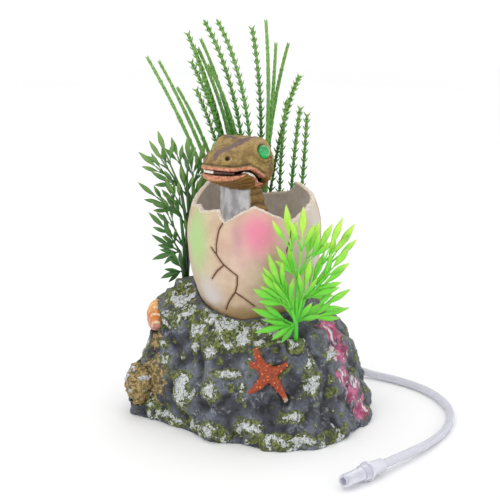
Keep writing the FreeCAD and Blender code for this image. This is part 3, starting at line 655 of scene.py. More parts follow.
def make_rock():
    """The rock with its lumps, creases and pits, and the masks that its paint follows."""
    rock = Skin.of_node("rock_base", voxel=0.95, smoothing=2)
    points = rock.points
    x, y, z = points.T
    to_right, to_back, to_top = rock.normals.T
    radius = np.hypot(x, y)
    outward = (to_right * x + to_back * y) / radius
    outside = ease(0.02, 0.35, np.maximum(outward, to_top)) * ease(0.5, 3, radius - egg_radius(z))
    for seat_x, seat_y, reach in SEATS:
        outside *= ease(reach, reach + 3, np.hypot(x - seat_x, y - seat_y))
    calm = outside * (0.3 + 0.7 * ease(9, 16, np.linalg.norm(points - STAR_PLACE, axis=1)))

    boulders = cells(points * (1, 1, 0.75), 17, 2)
    pits = clouds(points, 6, 4, 3)
    push = clouds(points, 21, 3, 1) * 2.3 - 1.7 * ease(0.35, 0.02, boulders)
    push += 0.75 * pits + 0.28 * clouds(points, 2.4, 3, 4)
    front = ease(0, -0.3, to_back)
    for across, low, high, width, depth in CREASES:
        window = ease(low - 4, low + 2, z) * ease(high + 4, high - 2, z)
        push -= depth * front * window * bell((x - across + 1.2 * pits) / width)

    behind = ease(-0.15, 0.25, to_back)
    flank = ease(0.55, 0.85, np.abs(to_right)) * ease(-0.6, -0.2, to_back)
    crown = ease(42, 48, z) * ease(14, 4, x) * ease(12, -2, y)
    foot = ease(9, 4, z) * ease(-62, -50, x) * ease(48, 40, x) * (1 - behind)
    rich = np.maximum(crown, foot)
    flakes = clouds(points, 5, 3, 5)
    scattered = 1.3 * clouds(points, 8, 3, 9) - 0.42 - 1.2 * (1 - np.maximum(behind, 0.6 * flank))
    lichen = np.maximum(dabs(points, LICHEN_DABS) + 0.4 * flakes, scattered)
    lichen = np.maximum(lichen, 1.7 * flakes - 0.25 - 1.2 * (1 - rich)) - 0.08
    moss = np.maximum(dabs(points, MOSS_DABS), lichen + 0.85)
    moss = np.maximum(moss, clouds(points, 10, 3, 6) * 1.2 - 0.5 + 0.35 * behind + 0.8 * rich)
    pink = clouds(points, 12, 2, 7) * 1.2 - 0.62 - (1 - behind) - 0.6 * (x < 0)
    ragged = clouds(points, 2, 2, 8)
    push += 0.4 * ease(0, 0.4, lichen + 0.5 * ragged) + 0.25 * ease(0, 0.5, moss + ragged)
    push *= calm
    rock.push(np.where(z < FOOT_HEIGHT, np.minimum(push, FOOT_BULGE), push))
    rock.points[:, 2] = np.maximum(rock.points[:, 2], 0)
    rock.push(np.zeros(len(push)))

    # crack and under carry painted shade: dark between the boulders, in the pits and on low faces that turn
    # under
    crack = ease(0.3, 0.05, boulders) * 0.75 + ease(-0.15, -0.75, pits) * 0.6
    under = 1 - ease(-0.2, 0.1, outward)
    rock.finish(
        "rock", "rock", "painted_rock_resin", "rock_base",
        painted_shade=np.clip(crack * outside + 0.8 * under * (z < 30), 0, 1),
        raised=np.clip(ease(0.1, 0.7, pits) * outside, 0, 1),
        lichen=np.where(outside > 0.3, np.minimum(lichen, 0.42), BARE_PAINT),
        moss=np.where(outside > 0.2, moss, BARE_PAINT),
        pink=np.maximum(dabs(points, PINK_DABS), pink),
        ochre=dabs(points, OCHRE_DABS),
    )


make_rock()


# ---- egg --------------------------------------------------------------------------------
# The broken edge: (degrees about the egg, height).
EGG_RIM = (
    (0, 112), (16, 112.5), (34, 115.5), (50, 110), (64, 108.5), (80, 107.5), (96, 109.5), (111, 108),
    (128, 112), (147, 118), (160, 113.5), (172, 109.5), (189, 107.5), (204, 109), (216, 107), (235, 108.5),
    (243, 103), (256, 107.5), (270, 111), (287, 107), (302, 103), (318, 106.5), (333, 109), (347, 110),
    (360, 112),
)
# Cracks in the shell, each a line of (degrees about the egg, height).
CRACKS = (
    ((242, 103), (239, 100), (236.5, 92.5), (236.5, 88), (242, 84), (249, 81), (255, 78.5), (254.5, 74),
     (252, 70), (244, 64.5), (238.5, 60)),
    ((252, 70), (259, 67.5), (270, 63)),
    ((231.5, 91), (236.5, 88)),
    ((243.5, 83.3), (236, 79.8), (229.5, 75.5)),
    ((299, 103.5), (301, 99), (300, 95), (297, 90.5), (301, 84)),
    ((301, 99), (308, 96)),
    ((64, 108), (60, 101), (66, 94), (61, 86), (70, 78), (66, 70)),
    ((66, 94), (77, 90)),
    ((147, 117), (150, 108), (143, 101), (148, 92), (139, 84), (143, 76)),
    ((148, 92), (158, 87)),
    ((350, 109), (354, 100), (347, 93), (351, 84)),
    ((347, 93), (340, 89)),
)
# Airbrushed zones: (degrees, height), half width in degrees, half height, strength.
EGG_ZONES = {
    "green": (((212, 93), 16, 17, 1), ((28, 94), 14, 18, 0.8), ((150, 88), 13, 18, 0.75)),
    "pink": (((273.5, 98.5), 18, 12, 0.9), ((271, 97), 25, 14, 0.5), ((95, 97), 14, 9, 0.7),
             ((95, 96), 26, 14, 0.5)),
    "mauve": (((256, 97), 6, 9, 0.6),),
    "rose": (((262, 86), 30, 16, 0.4), ((303, 97), 17, 18, 0.95), ((95, 82), 40, 16, 0.6)),
    "lilac": (((222, 66), 18, 13, 0.9), ((334, 98), 16, 30, 0.85), ((185, 72), 16, 16, 0.7),
              ((60, 70), 20, 14, 0.6)),
}
EGG_COLUMNS, OUTER_ROWS, INNER_ROWS = 500, 158, 34
OUTER_FOOT, INNER_FOOT = 46, 50  # where the shell's two sides end, hidden in the rock


def around(radius, turn, z):
    """Places about the egg's axis."""
    return np.stack((radius * np.cos(turn), radius * np.sin(turn), z), axis=1)


def turned(degrees):
    """The same angles between -180 and 180."""
    return (degrees + 180) % 360 - 180


def crack_distance(degrees, z, radius):
    """The distance along the shell from each point to the nearest crack, up to 4 mm."""
    nearest = np.full(len(z), 4)
    arc = np.radians(radius)  # millimetres a degree
    for line in CRACKS:
        first = line[0][0]
        places = [((angle - first) * arc, height) for angle, height in line]
        nearest = np.minimum(nearest, line_gap(turned(degrees - first) * arc, z, places))
    return nearest


def egg_rows(rim):
    """The rows up the outside, over the edge and down the inside: wall share, heights, inner, edge."""
    rows = []
    for share in np.linspace(0, 1, OUTER_ROWS):
        rows.append((0, OUTER_FOOT + (rim - OUTER_FOOT) * share, 0, float(share > 0.992)))
    for share in (0.2, 0.4, 0.6, 0.8):
        rows.append((share, rim + 0.3 * math.sin(math.pi * share), 0, 1))
    for share in np.linspace(0, 1, INNER_ROWS):
        on_edge = share == 0
        rows.append((1, rim + (INNER_FOOT - rim) * share ** 1.2, 0.5 if on_edge else 1, float(on_edge)))
    return rows


def make_egg():
    """The open shell as one closed skin: outside, broken edge and inside."""
    circle = np.linspace(0, 360, EGG_COLUMNS, endpoint=False)
    chips = clouds(around(EGG_RADIUS, np.radians(circle), 0 * circle), 3.5, 4, 21)
    rim = follow(EGG_RIM, circle) + 0.45 * chips
    rows = egg_rows(rim)
    wall, inner, edge = (np.repeat([row[i] for row in rows], EGG_COLUMNS) for i in (0, 2, 3))
    z = np.concatenate([row[1] for row in rows])
    degrees = np.tile(circle, len(rows))
    turn = np.radians(degrees)
    radius = egg_radius(z, EGG_WALL * wall)
    points = around(radius, turn, z)

    outer = 1 - ease(0, 0.2, wall)
    crack = crack_distance(degrees, z, radius)
    groove = -0.5 * ease(0.85, 0.15, crack) + 0.12 * ease(1.8, 0.8, crack)
    relief = 0.3 * clouds(points, 13, 3, 22) + 0.07 * clouds(points, 2.6, 3, 23)
    broken = edge * 0.22 * clouds(points, 1.5, 3, 24) - 0.25 * inner * clouds(points, 5, 4, 25)
    points = around(radius + outer * (groove + relief) + broken, turn, z)
    points[:, 2] += edge * 0.2 * clouds(points, 1.3, 3, 26)
    z = points[:, 2]

    mesh = new_mesh("egg", points, net_faces(0, len(rows), EGG_COLUMNS, closed=True))
    near_edge = 0.6 * outer * ease(0.5, 0.1, np.tile(rim, len(rows)) - z)
    add_masks(mesh, {
        "crack": np.where(wall > 0, 4, crack),
        "inner": inner,
        "edge": np.clip(edge * (wall < 0.7) + near_edge, 0, 1),
        # painted shade deep inside the shell, darker below 100 mm
        "deep_shade": ease(100, 78, z),
        "olive": ease(67, 56, z + 2 * clouds(points, 9, 3, 27)),
    })
    for name, zones in EGG_ZONES.items():
        blobs = [strength * bell(np.hypot(turned(degrees - angle) / wide, (z - height) / tall))
                 for (angle, height), wide, tall, strength in zones]
        add_masks(mesh, {name: np.max(blobs, axis=0)})
    add_piece("egg", mesh, "egg", "egg_shell")


make_egg()


# ---- hatchling --------------------------------------------------------------------------
# Sections of the head: forward, half width, and the heights of chin, middle and crown.
HEAD_SECTIONS = np.array((
    (-14, 5, 124, 128, 132),
    (-12.5, 9.5, 118, 127.5, 136),
    (-8, 13.8, 114.2, 127.5, 138.6),
    (-2, 15.4, 113.6, 128, 140.6),
    (4, 14.4, 114.8, 127, 140),
    (10, 12.4, 117.2, 125.8, 137.2),
    (15.5, 10.4, 118.8, 125.2, 135.2),
    (19.5, 7.6, 119.8, 125.2, 133.4),
    (21.8, 3.6, 121.6, 125.4, 130),
))
# Lines on the side of the head: (forward, height).
SKULL_LIP = ((-4, 120.4), (0.5, 120.9), (5, 123.9), (9, 126), (16.5, 125.5), (26, 126.5))
JAW_LIP = ((-1, 118.6), (3.4, 120), (6, 122.5), (11, 124.6), (17.5, 123.8), (26, 124.4))
BROW_LINE = ((-7, 137), (-1, 139.6), (5, 138.6), (12, 135.6))
CHEEK_LINE = ((-3, 131), (-5.5, 127), (-4, 122))
# The lower lip's thickness: (forward, millimetres).
LIP_BAND = ((-1, 2), (3, 2.2), (5, 1.2), (8, 0.3), (11, 0.5), (14, 1.8), (22, 2.6))
# Places on both sides of the head: forward, aside, height.
EYE_PLACE, NOSTRIL, NOSE_BUMP = (0, 13.4, 133.6), (18.2, 6.3, 131.9), (17.6, 3.6, 133.9)
LID_REACH, FOLD_REACH = 4.7, 6.6  # from the eye's middle to its lid and to the fold above it
LIP_CREASE, CREASE_WIDTH = 2.7, 0.5  # above the mouth's edge
# Dark stripes over the head: lines of (forward, left) and half width.
STRIPES = (
    (((-7, 7.5), (2.5, 6), (6, 4.6), (13, 2.5), (20, 0.6)), 2),
    (((-1.5, -12), (1.5, -7), (3.6, -1)), 1.4),
    (((-9, -9), (-4, -4.5), (-8.5, 1.5), (-11, 6)), 1.5),
    (((19, -5.5), (14, -8), (9, -11)), 1.3),
)


def head_frame(points):
    """Forward, left and height of each point in the head's own directions."""
    x, y, z = (points - HEAD_CENTRE).T
    return x * HEAD_COS + y * HEAD_SIN, y * HEAD_COS - x * HEAD_SIN, z


def head_place(forward, left, z):
    """The place that lies so far forward and left of the head's middle."""
    x, y = forward * HEAD_COS - left * HEAD_SIN, forward * HEAD_SIN + left * HEAD_COS
    return HEAD_CENTRE + (x, y, z)


def head_outside(forward, left, z):
    """1 on the head's outer surface and 0 on the surfaces inside it."""
    stations, *parts = HEAD_SECTIONS.T
    width, chin, middle, crown = (np.interp(forward, stations, part) for part in parts)
    depth = np.hypot(left / width, (z - middle) / np.where(z > middle, crown - middle, middle - chin))
    return np.maximum(ease(0.86, 0.95, depth), ease(20.4, 21.2, forward))


def gap_from(place, forward, side, z, narrow=1):
    """The distance from a place on the head; narrow makes a round spot narrower."""
    return np.sqrt((forward - place[0]) ** 2 + ((side - place[1]) * narrow) ** 2 + (z - place[2]) ** 2)


def skin_relief(points, depth):
    """Scaly, wrinkled relief shared by the hatchling's pieces."""
    wrinkles = clouds(points * (1, 1, 1.7), 4.2, 4, 31)
    scales = ease(0, 0.45, cells(points, 1.9, 32))
    warts = ease(0.25, 0.8, cells(points, 3.1, 30))
    return depth * (0.7 * wrinkles + 0.3 * scales + 0.45 * warts - 0.2)


def make_skull():
    """The hinged upper head: brows, nostrils, upper lip and the two-tone skin."""
    skull = Skin.of_node("skull_shell", voxel=0.42)
    forward, left, z = head_frame(skull.points)
    side = np.abs(left)
    outer = head_outside(forward, left, z)
    eye = gap_from(EYE_PLACE, forward, side, z)
    nostril = gap_from(NOSTRIL, forward, side, z, 1.25)
    cheek = line_gap(forward, z, CHEEK_LINE)
    above_lip = z - follow(SKULL_LIP, forward)
    mouth = ease(-1.5, 0.5, forward)
    lip = ease(2.1, 1.6, above_lip) * ease(-1.4, -0.6, above_lip) * mouth
    lid = bell((eye - LID_REACH) / 0.85)
    brow = bell(line_gap(forward, z, BROW_LINE) / 1.9) * ease(5.5, 9, side)

    push = skin_relief(skull.points, 0.5) * ease(3.6, 5.2, eye)
    push += 0.85 * lid + 0.5 * bell((eye - FOLD_REACH) / 0.8) * ease(134, 137, z) + 1.1 * brow
    push -= 0.7 * bell(left / 4) * ease(-6, 0, forward) * ease(16, 8, forward) * (z > 130)
    push += 0.45 * bell((nostril - 2.3) / 0.8) - 1.5 * ease(1.5, 0.4, nostril)
    push += 0.6 * np.exp(-(gap_from(NOSE_BUMP, forward, side, z) ** 2) / 3.2)
    push += 0.35 * ease(2.4, 1.2, above_lip) * mouth + lip * 0.25 * clouds(skull.points, 1.6, 3, 33)
    push -= 0.5 * bell((above_lip - LIP_CREASE) / CREASE_WIDTH) * mouth
    sideways = ease(-0.75, -0.2, skull.normals[:, 2])
    push = push * sideways - 0.5 * (1 - sideways) * ease(2, 1, above_lip) * mouth
    push += 0.5 * bell((cheek - 1.5) / 1.1) - 0.5 * bell(cheek / 0.6)
    skull.push(push * outer)

    wander = 0.9 * clouds(skull.points, 2.6, 3, 34)
    stripes = [ease(half_width + 1, half_width - 1.1, line_gap(forward, left, line) + wander)
               for line, half_width in STRIPES]
    # painted shade: dark in the nostrils, along the cheek crease and in the crease above the lip
    dark = ease(1.7, 0.9, nostril) + 0.7 * bell(cheek / 0.5)
    dark += 0.8 * bell((above_lip - LIP_CREASE) / 0.4) * mouth
    skull.finish(
        "upper_head", "skin", "olive_skin_resin", "skull_shell", "skull",
        stripe=np.max(stripes, axis=0) * outer * ease(128, 131, z),
        lip=lip * outer,
        brow=np.clip(0.75 * lid * ease(131, 135, z) + 0.55 * brow, 0, 1) * outer,
        # painted shade on the inner surfaces, inside the mouth
        mouth=1 - outer,
        painted_shade=np.clip(dark, 0, 1) * outer,
        brown=0.35 * ease(127, 121, z) * outer,
    )


def make_jaw():
    """The fixed lower jaw with its thick lip and the brown skin under it."""
    jaw = Skin.of_node("lower_jaw", voxel=0.42)
    forward, left, z = head_frame(jaw.points)
    outer = head_outside(forward, left, z)
    below_lip = follow(JAW_LIP, forward) - z
    band = follow(LIP_BAND, forward)
    lip = ease(band + 0.5, band - 0.2, below_lip) * ease(-2, -1, forward) * ease(0.3, 0.9, band)
    folds = 0.35 * np.sin((z + 0.4 * forward) * 2.4 + 2 * clouds(jaw.points, 5, 2, 34))
    sideways = ease(0.75, 0.2, jaw.normals[:, 2])
    push = skin_relief(jaw.points, 0.5) + folds * ease(121, 117, z) + 0.35 * lip
    push += lip * 0.25 * clouds(jaw.points, 1.5, 3, 35)
    push = push * sideways - 0.35 * (1 - sideways) * ease(2, 1, below_lip)
    jaw.push(push * outer)
    jaw.finish(
        "lower_head", "skin", "olive_skin_resin", "lower_jaw",
        lip=lip * outer,
        # painted shade on the inner surfaces, inside the mouth
        mouth=0.9 * (1 - outer),
        # painted shade in the troughs of the folds under the jaw
        painted_shade=np.clip(ease(0.1, -0.3, folds) * 0.5 * (1 - lip), 0, 1) * outer,
        brown=0.8 * outer * (1 - lip),
    )


def make_body():
    """The neck and belly: ochre folds on the right and behind, a pale throat at the front left."""
    body = Skin.of_node("hatchling_body", voxel=0.85)
    x, y, z = body.points.T
    facing = body.normals[:, 0] * -0.45 + body.normals[:, 1] * -0.89
    pale = ease(-1.6, -3.4, x + 0.5 * clouds(body.points, 5, 2, 36)) * ease(-0.1, 0.25, facing)
    wave = 2.2 * clouds(body.points, 9, 2, 37)
    rings = np.sin(z * 1.15 + wave) * (1 - pale)
    creases = np.sin(np.arctan2(y - 2, x + 5) * 9 + wave) * pale
    above_shell = ease(90, 98, z)
    body.push((0.45 * rings + 0.5 * creases) * above_shell + skin_relief(body.points, 0.45))
    # painted shade: darker in the troughs of the neck rings and low down inside the shell
    dark = ease(-0.4, -0.95, rings) * 0.55 + 0.35 * ease(96, 80, z)
    body.finish("neck_and_belly", "skin", "olive_skin_resin", "hatchling_body",
                pearl=pale, painted_shade=np.clip(dark, 0, 1), brown=0.4 * (1 - pale))


def make_gums():
    """The gum ridges, rounded and notched: dark, with white at one front corner of the upper one."""
    for node, body in (("upper_teeth", "skull"), ("lower_teeth", "ornament")):
        gums = Skin.of_node(node, voxel=0.2, smoothing=2)
        forward, left, _ = head_frame(gums.points)
        gums.push(0.12 * np.sin(forward * 4.2) + 0.08 * clouds(gums.points, 1.2, 3, 38))
        uneven = 0.5 * clouds(gums.points, 1.5, 3, 39)
        white = ease(15.5, 17, forward + uneven) * ease(0.6, -0.4, left + uneven)
        gums.finish(node + "_ridge", "tooth", "tooth_white", node, body,
                    white=white if body == "skull" else 0)


SIDE_TEETH_START, SIDE_TEETH_STEP, SIDE_TEETH_COUNT = 3.4, 0.64, 15  # forward along the jaw


def make_side_teeth():
    """The white ridges beside the dip in the lower lip."""
    loft = Loft()
    for side in (-1, 1):
        path, radii = [], []
        for i in range(SIDE_TEETH_COUNT):
            forward = SIDE_TEETH_START + SIDE_TEETH_STEP * i
            half_width = follow(HEAD_SECTIONS[:, :2], forward)
            arch = math.sin(math.pi * i / (SIDE_TEETH_COUNT - 1))
            height = follow(JAW_LIP, forward) - 0.3 + 0.6 * arch
            path.append(head_place(forward, side * (0.945 * half_width - 1), height))
            radii.append(0.35 + 0.5 * arch + 0.1 * (i % 2))
        loft.tube(path, radii, 10, flat_way=UPRIGHT)
    ridges = Skin(loft.mesh("side_teeth"), voxel=0.2)
    ridges.push(0.06 * clouds(ridges.points, 1.2, 3, 40))
    ridges.finish("side_teeth", "tooth", "tooth_white", white=1)


make_skull()
make_jaw()
make_body()
make_gums()
make_side_teeth()


# ---- sea life ---------------------------------------------------------------------------
# Arms of the starfish as (across, up), each with the sideways bow of its middle.
STAR_ARMS = (
    ((-5.5, 11.9), 1), ((9.1, 4.8), -0.8), ((8.8, -13.1), 0.6), ((-9.1, -9.2), 1.2), ((-8.7, 4.3), -0.6),
)
SHELL_PLACE, SHELL_HINGE = (-48.5, 3, 50), 14  # its middle, and how far below it the ribs meet


def star_point(across, up, out):
    """A place on the starfish: across, up its leaning face, and out from it."""
    cos, sin = math.cos(STAR_LEAN), math.sin(STAR_LEAN)
    return STAR_PLACE + np.array((across, up * sin - out * cos, up * cos + out * sin))


def make_starfish():
    """Five tapering arms run together, with rows of pale bumps."""
    loft = Loft()
    for (across, up), bow in STAR_ARMS:
        aside = np.array((-up, across)) / math.hypot(across, up) * bow
        shares = np.linspace(0, 1, 9)
        places = [np.array((across, up)) * t + aside * math.sin(math.pi * t) for t in shares]
        path = [star_point(*place, 1.9 - 0.3 * t) for place, t in zip(places, shares)]
        radii = [3.35 - 2.35 * t for t in shares]
        loft.tube(path, radii, 12, flat=0.8, flat_way=star_point(0, 0, 1) - STAR_PLACE)
    loft.tube([star_point(0, 0, out) for out in (0.4, 2.2, 3.6)], [4.2, 3.8, 2.2], 16)
    star = Skin(loft.mesh("star"), voxel=0.36, smoothing=3)
    bumps = ease(0.15, 0.7, cells(star.points, 1.7, 41))
    star.push(0.5 * bumps - 0.2)
    from_tip = np.linalg.norm(star.points - star_point(*STAR_ARMS[2][0], 1.6), axis=1)
    star.finish("starfish_cast", "starfish", "orange_resin", "starfish",
                # painted shade between the bumps
                bump=bumps, pale=0.8 * ease(3.2, 1.2, from_tip), painted_shade=0.5 * (1 - bumps))


def make_seashell():
    """A ribbed shell half sunk in the rock."""
    shell = Skin.of_node("orange_seashell", voxel=0.5)
    _, y, z = (shell.points - SHELL_PLACE).T
    ribs = 0.5 + 0.5 * np.cos(np.arctan2(y, z + SHELL_HINGE) * 46)
    growth = 0.5 + 0.5 * np.sin(np.hypot(y, z + SHELL_HINGE) * 2.2)
    shell.push(0.4 * ribs - 0.2 + 0.15 * growth + 0.2 * clouds(shell.points, 3, 3, 42))
    shell.finish("seashell", "shell", "shell_orange", "orange_seashell", ridge=ribs * (0.6 + 0.4 * growth))


def make_sponge():
    """The lumpy ochre sponge at the rock's left foot."""
    sponge = Skin.of_node("sponge_lump", voxel=0.6)
    pores = ease(0.35, 0.05, cells(sponge.points, 3.6, 43))
    lumps = clouds(sponge.points, 8, 3, 44)
    sponge.push(0.5 + 1.1 * lumps + 0.5 * clouds(sponge.points, 2.4, 3, 45) - 0.7 * pores)
    lichen = 1.8 * clouds(sponge.points, 6, 3, 46) - 0.75
    sponge.finish("sponge", "rock", "ochre_resin", "sponge_lump",
                  # painted shade in the pores
                  lichen=lichen, moss=-1.6 * lumps - 0.15, ochre=0.8 + lumps, painted_shade=0.7 * pores)


make_starfish()
make_seashell()
make_sponge()


# ---- plants -----------------------------------------------------------------------------
# A blade's half width along it, as (share of its length, share of its half width).
LEAF_PROFILE = (
    (0, 0.12), (0.1, 0.24), (0.22, 0.5), (0.36, 0.82), (0.5, 1), (0.62, 0.94), (0.75, 0.7), (0.87, 0.4),
    (0.95, 0.16), (1, 0.02),
)
LEAF_THICKNESS = 0.36


def add_leaf(loft, start, end, blade, width, face, bow, shares):
    """A lance-shaped blade with a raised midrib on a thin stalk; face is the way its flat side looks."""
    course = bezier(start, (start + end) / 2 + bow, end)
    stalk = max(0, 1 - blade / np.linalg.norm(end - start))
    span = shares[1] - shares[0]
    if stalk > 0.05:
        path = [course(stalk * i / 5 * 1.03) for i in range(6)]
        loft.tube(path, [0.62, 0.52, 0.48, 0.46, 0.44, 0.4], 6, (shares[0], shares[0] + span * stalk))
    rings, marks = [], []
    for share, part in LEAF_PROFILE:
        t = stalk + (1 - stalk) * share
        ahead = unit(course(min(t + 0.04, 1)) - course(max(t - 0.04, 0)))
        across = unit(np.cross(ahead, face))
        out = unit(np.cross(across, ahead))
        half = width / 2 * part
        rib = LEAF_THICKNESS * (0.5 + 0.5 * part) * (1.15 - share)
        section = (
            (1, 0.2 * half), (0.5, rib * 0.45 + 0.04 * half), (0, rib),
            (-0.5, rib * 0.45 + 0.04 * half), (-1, 0.2 * half),
            (-0.5, rib * -0.35), (0, rib * -0.7), (0.5, rib * -0.35),
        )
        rings.append([course(t) + across * half * side + out * height for side, height in section])
        marks.append(shares[0] + span * t)
    loft.rings(rings, marks)
    return course(stalk * 0.7), unit(end - start)


def make_leafy_plant(name, root, sprigs, leaf, material, seed, depth, height, bow):
    """One piece per sprig: a round stem and stalked leaves, each with smaller ones beside it."""
    dice = random.Random(seed)
    blade, width, spread = leaf
    for number, (forward, stem, leaves) in enumerate(sprigs, 1):
        loft = Loft()
        foot = np.array(root) + (0, forward, 0)
        places = [foot - (0, 0, 2.5)] + [foot + (across, 0, up) for across, up in stem]
        loft.tube(places, [1.1] + [0.95 - 0.2 * i for i in range(len(stem))], 8, (0, 0.35))
        for index, (across, up) in leaves:
            start = places[index + 1]
            end = foot + (across, dice.uniform(-depth, depth), up)
            level = up / height
            shares = (0.15 + level * 0.3, 0.5 + level * 0.55)
            lean = np.array((math.copysign(bow, end[0] - start[0]) * dice.uniform(0.4, 1.2), 0, bow * 0.4))
            face = unit(np.array((dice.uniform(-0.4, 0.4), -1, dice.uniform(-0.2, 0.3))))
            size = (blade * dice.uniform(0.9, 1.15), width * dice.uniform(0.85, 1.1))
            fork, ahead = add_leaf(loft, start, end, *size, face, lean, shares)
            for turn in (spread, -spread):
                angle = math.radians(turn * dice.uniform(0.75, 1.25))
                cos, sin = math.cos(angle), math.sin(angle)
                way = np.array((ahead[0] * cos + ahead[2] * sin, ahead[1] - 0.25 + 0.5 * dice.random(),
                                ahead[2] * cos - ahead[0] * sin))
                room = np.linalg.norm(end - fork) * dice.uniform(0.6, 0.8)
                face = unit(np.array((dice.uniform(-0.5, 0.5), -1, dice.uniform(-0.3, 0.3))))
                side_end = fork + unit(way) * max(room, blade * 0.75)
                add_leaf(loft, fork, side_end, blade * 0.8, width * 0.85, face, lean * 0.4, shares)
        node = "%s_sprig_%d" % (name, number)
        add_piece(node + "_leaves", loft.mesh(node), material, node)


# Each sprig: its forward offset, its stem's places from the root as (across, up), and its leaves as
# (the stem's place that a leaf grows from, where it ends).
FRONT_ROOT = (19.1, -38, 49)
FRONT_SPRIGS = (
    (-1.6, ((0, 8.5), (-2, 16)),
     ((0, (-20.4, 16)), (0, (-19.4, 5.5)), (1, (-20, 26)), (1, (-13.1, 43)), (1, (-16, 33.5)),
      (0, (-8, 3)), (1, (-7, 36)))),
    (0, ((0, 9.5), (0.5, 30)),
     ((0, (-15.8, 33)), (1, (-9.4, 46)), (1, (-5, 65)), (1, (2.7, 64.5)), (1, (10.5, 56.6)),
      (1, (16.4, 56)), (0, (6.5, 40)), (0, (-3.5, 28)))),
    (1.6, ((0, 9), (4, 20)),
     ((0, (25.4, 15.2)), (0, (25.7, 24.3)), (1, (20.1, 25.7)), (1, (24, 36.6)), (1, (24.3, 45)),
      (1, (20.9, 59)), (1, (26.8, 55.5)), (0, (13, 18)), (1, (13, 42)))),
)
LEFT_ROOT = (-35, 19, 62)
LEFT_SPRIGS = (
    (-3.8, ((-1, 8), (-2.5, 18)),
     ((0, (-12.6, 4.1)), (1, (-16.5, 14.5)), (1, (-16.7, 27.5)), (0, (-7, 20)), (1, (-10, 34)))),
    (-1.9, ((-0.5, 20), (-2, 36)),
     ((0, (-18.6, 37.3)), (1, (-16.9, 44.9)), (1, (-23.8, 52.5)), (0, (-12, 46)), (1, (-10, 56)),
      (0, (5, 40)))),
    (0, ((1, 30), (-2, 50)),
     ((1, (-16.6, 58.6)), (1, (-23.4, 67.6)), (1, (-12.8, 79.1)), (0, (-10, 47)), (1, (-17.9, 73.6)),
      (0, (7, 52)))),
    (1.9, ((2, 34), (1, 54)),
     ((1, (-6.4, 75.6)), (1, (1.5, 75.6)), (0, (-10, 56)), (0, (9, 57)))),
    (3.8, ((3, 36), (4.5, 52)),
     ((1, (10, 73.1)), (0, (-2, 62)), (1, (3.5, 70)), (0, (11, 58)), (1, (14, 66)))),
)
make_leafy_plant("front_plant", FRONT_ROOT, FRONT_SPRIGS, leaf=(15.5, 3.5, 21), material="front_leaf",
                 seed=5, depth=3, height=65, bow=1.6)
make_leafy_plant("left_plant", LEFT_ROOT, LEFT_SPRIGS, leaf=(12, 2.7, 25), material="left_leaf",
                 seed=9, depth=6, height=79, bow=1.4)

REAR_ROOT_Y, REAR_FLOOR = 38, 60
# For each frond node: root across, its forward offset, then stems as (bend, tip, seen edge on).
REAR_FRONDS = (
    (-8, 2.6, (((-22, 119), (-53.8, 175.3), True),)),
    (-7, -2.6, (((-18, 117), (-48.3, 172.8), True), ((-15, 118), (-39.4, 159.2), True))),
    (-5.6, 0, (((-11.6, 132), (-33.4, 187.7), False), ((-9.5, 130), (-31, 181), True),
                 ((-12, 120), (-29.7, 159.2), False))),
    (-4, 1.3, (((0.5, 149), (-24.8, 193.2), False), ((-9, 128), (-32.1, 173.3), False),
                 ((-5, 132), (-28.2, 179.5), True))),
    (-2.4, -1.3, (((5, 150), (-18.3, 193.2), False), ((-5, 137), (-27, 184), True),
                  ((-1, 134), (-23.4, 171), True))),
    (-0.6, 0, (((8, 142), (-1.2, 190.2), False),)),
    (1, 2.6, (((10, 142), (5.8, 193.2), True), ((9, 140), (10.9, 181.8), True))),
    (2.4, -2.6, (((4.4, 137), (17, 181.8), True), ((11, 142), (23.2, 165.3), False))),
    (13.6, 0, (((11.6, 119), (16.7, 152.6), False),)),
    (17, 1.6, (((18.5, 117), (23.4, 150.1), False),)),
    (20.4, 0, (((25.4, 112), (27, 146.5), False),)),
)
NEEDLE_STEP, NEEDLE_LENGTH = 2.3, 3.6


def add_needle(loft, base, way, ahead, length, share, thick):
    """A short, straight, thorn-like needle that points up and out from its stem."""
    middle = base + (way * 0.42 + ahead * 0.3) * length
    path = [base - ahead * 0.5, middle, base + (way * 0.74 + ahead * 0.8) * length]
    loft.tube(path, [thick, 0.72 * thick, 0.08], 5, (share, min(share + 0.1, 1)), 0.6, ahead)


def add_stem(loft, dice, root, bend, tip, edge_on):
    """A bowed stem with crossed pairs of needles; edge on it is thicker and they stand closer."""
    course = bezier(root, bend, tip)
    length = np.linalg.norm(bend - root) + np.linalg.norm(tip - bend)
    radius, taper, gap, thick = (1.35, 0.9, 0.8, 0.85) if edge_on else (0.95, 0.5, 1, 1)
    shares = [i / 24 for i in range(25)]
    loft.tube([course(t) for t in shares], [radius - taper * t for t in shares], 7)
    count = int(length / (NEEDLE_STEP * gap))
    for i in range(3, count + 1):
        t = min(i / count, 0.995)
        ahead = unit(course(min(t + 0.02, 1)) - course(t - 0.02))
        side = unit(np.cross(ahead, INTO_DEPTH))
        back = np.cross(side, ahead)
        spin = (math.pi / 4 if edge_on else 0) + (i % 2) * math.pi / 2 + dice.uniform(-0.25, 0.25)
        reach = NEEDLE_LENGTH * (1 - 0.3 * t) * dice.uniform(0.9, 1.1)
        lean = 0.85 - 0.35 * t if edge_on else 1
        for turn in (spin, spin + math.pi):
            way = math.cos(turn) * side + math.sin(turn) * back
            add_needle(loft, course(t), way * lean, ahead, reach, t, thick)
    loft.tube([course(0.975), tip], [0.75, 0.08], 6, (0.95, 1))


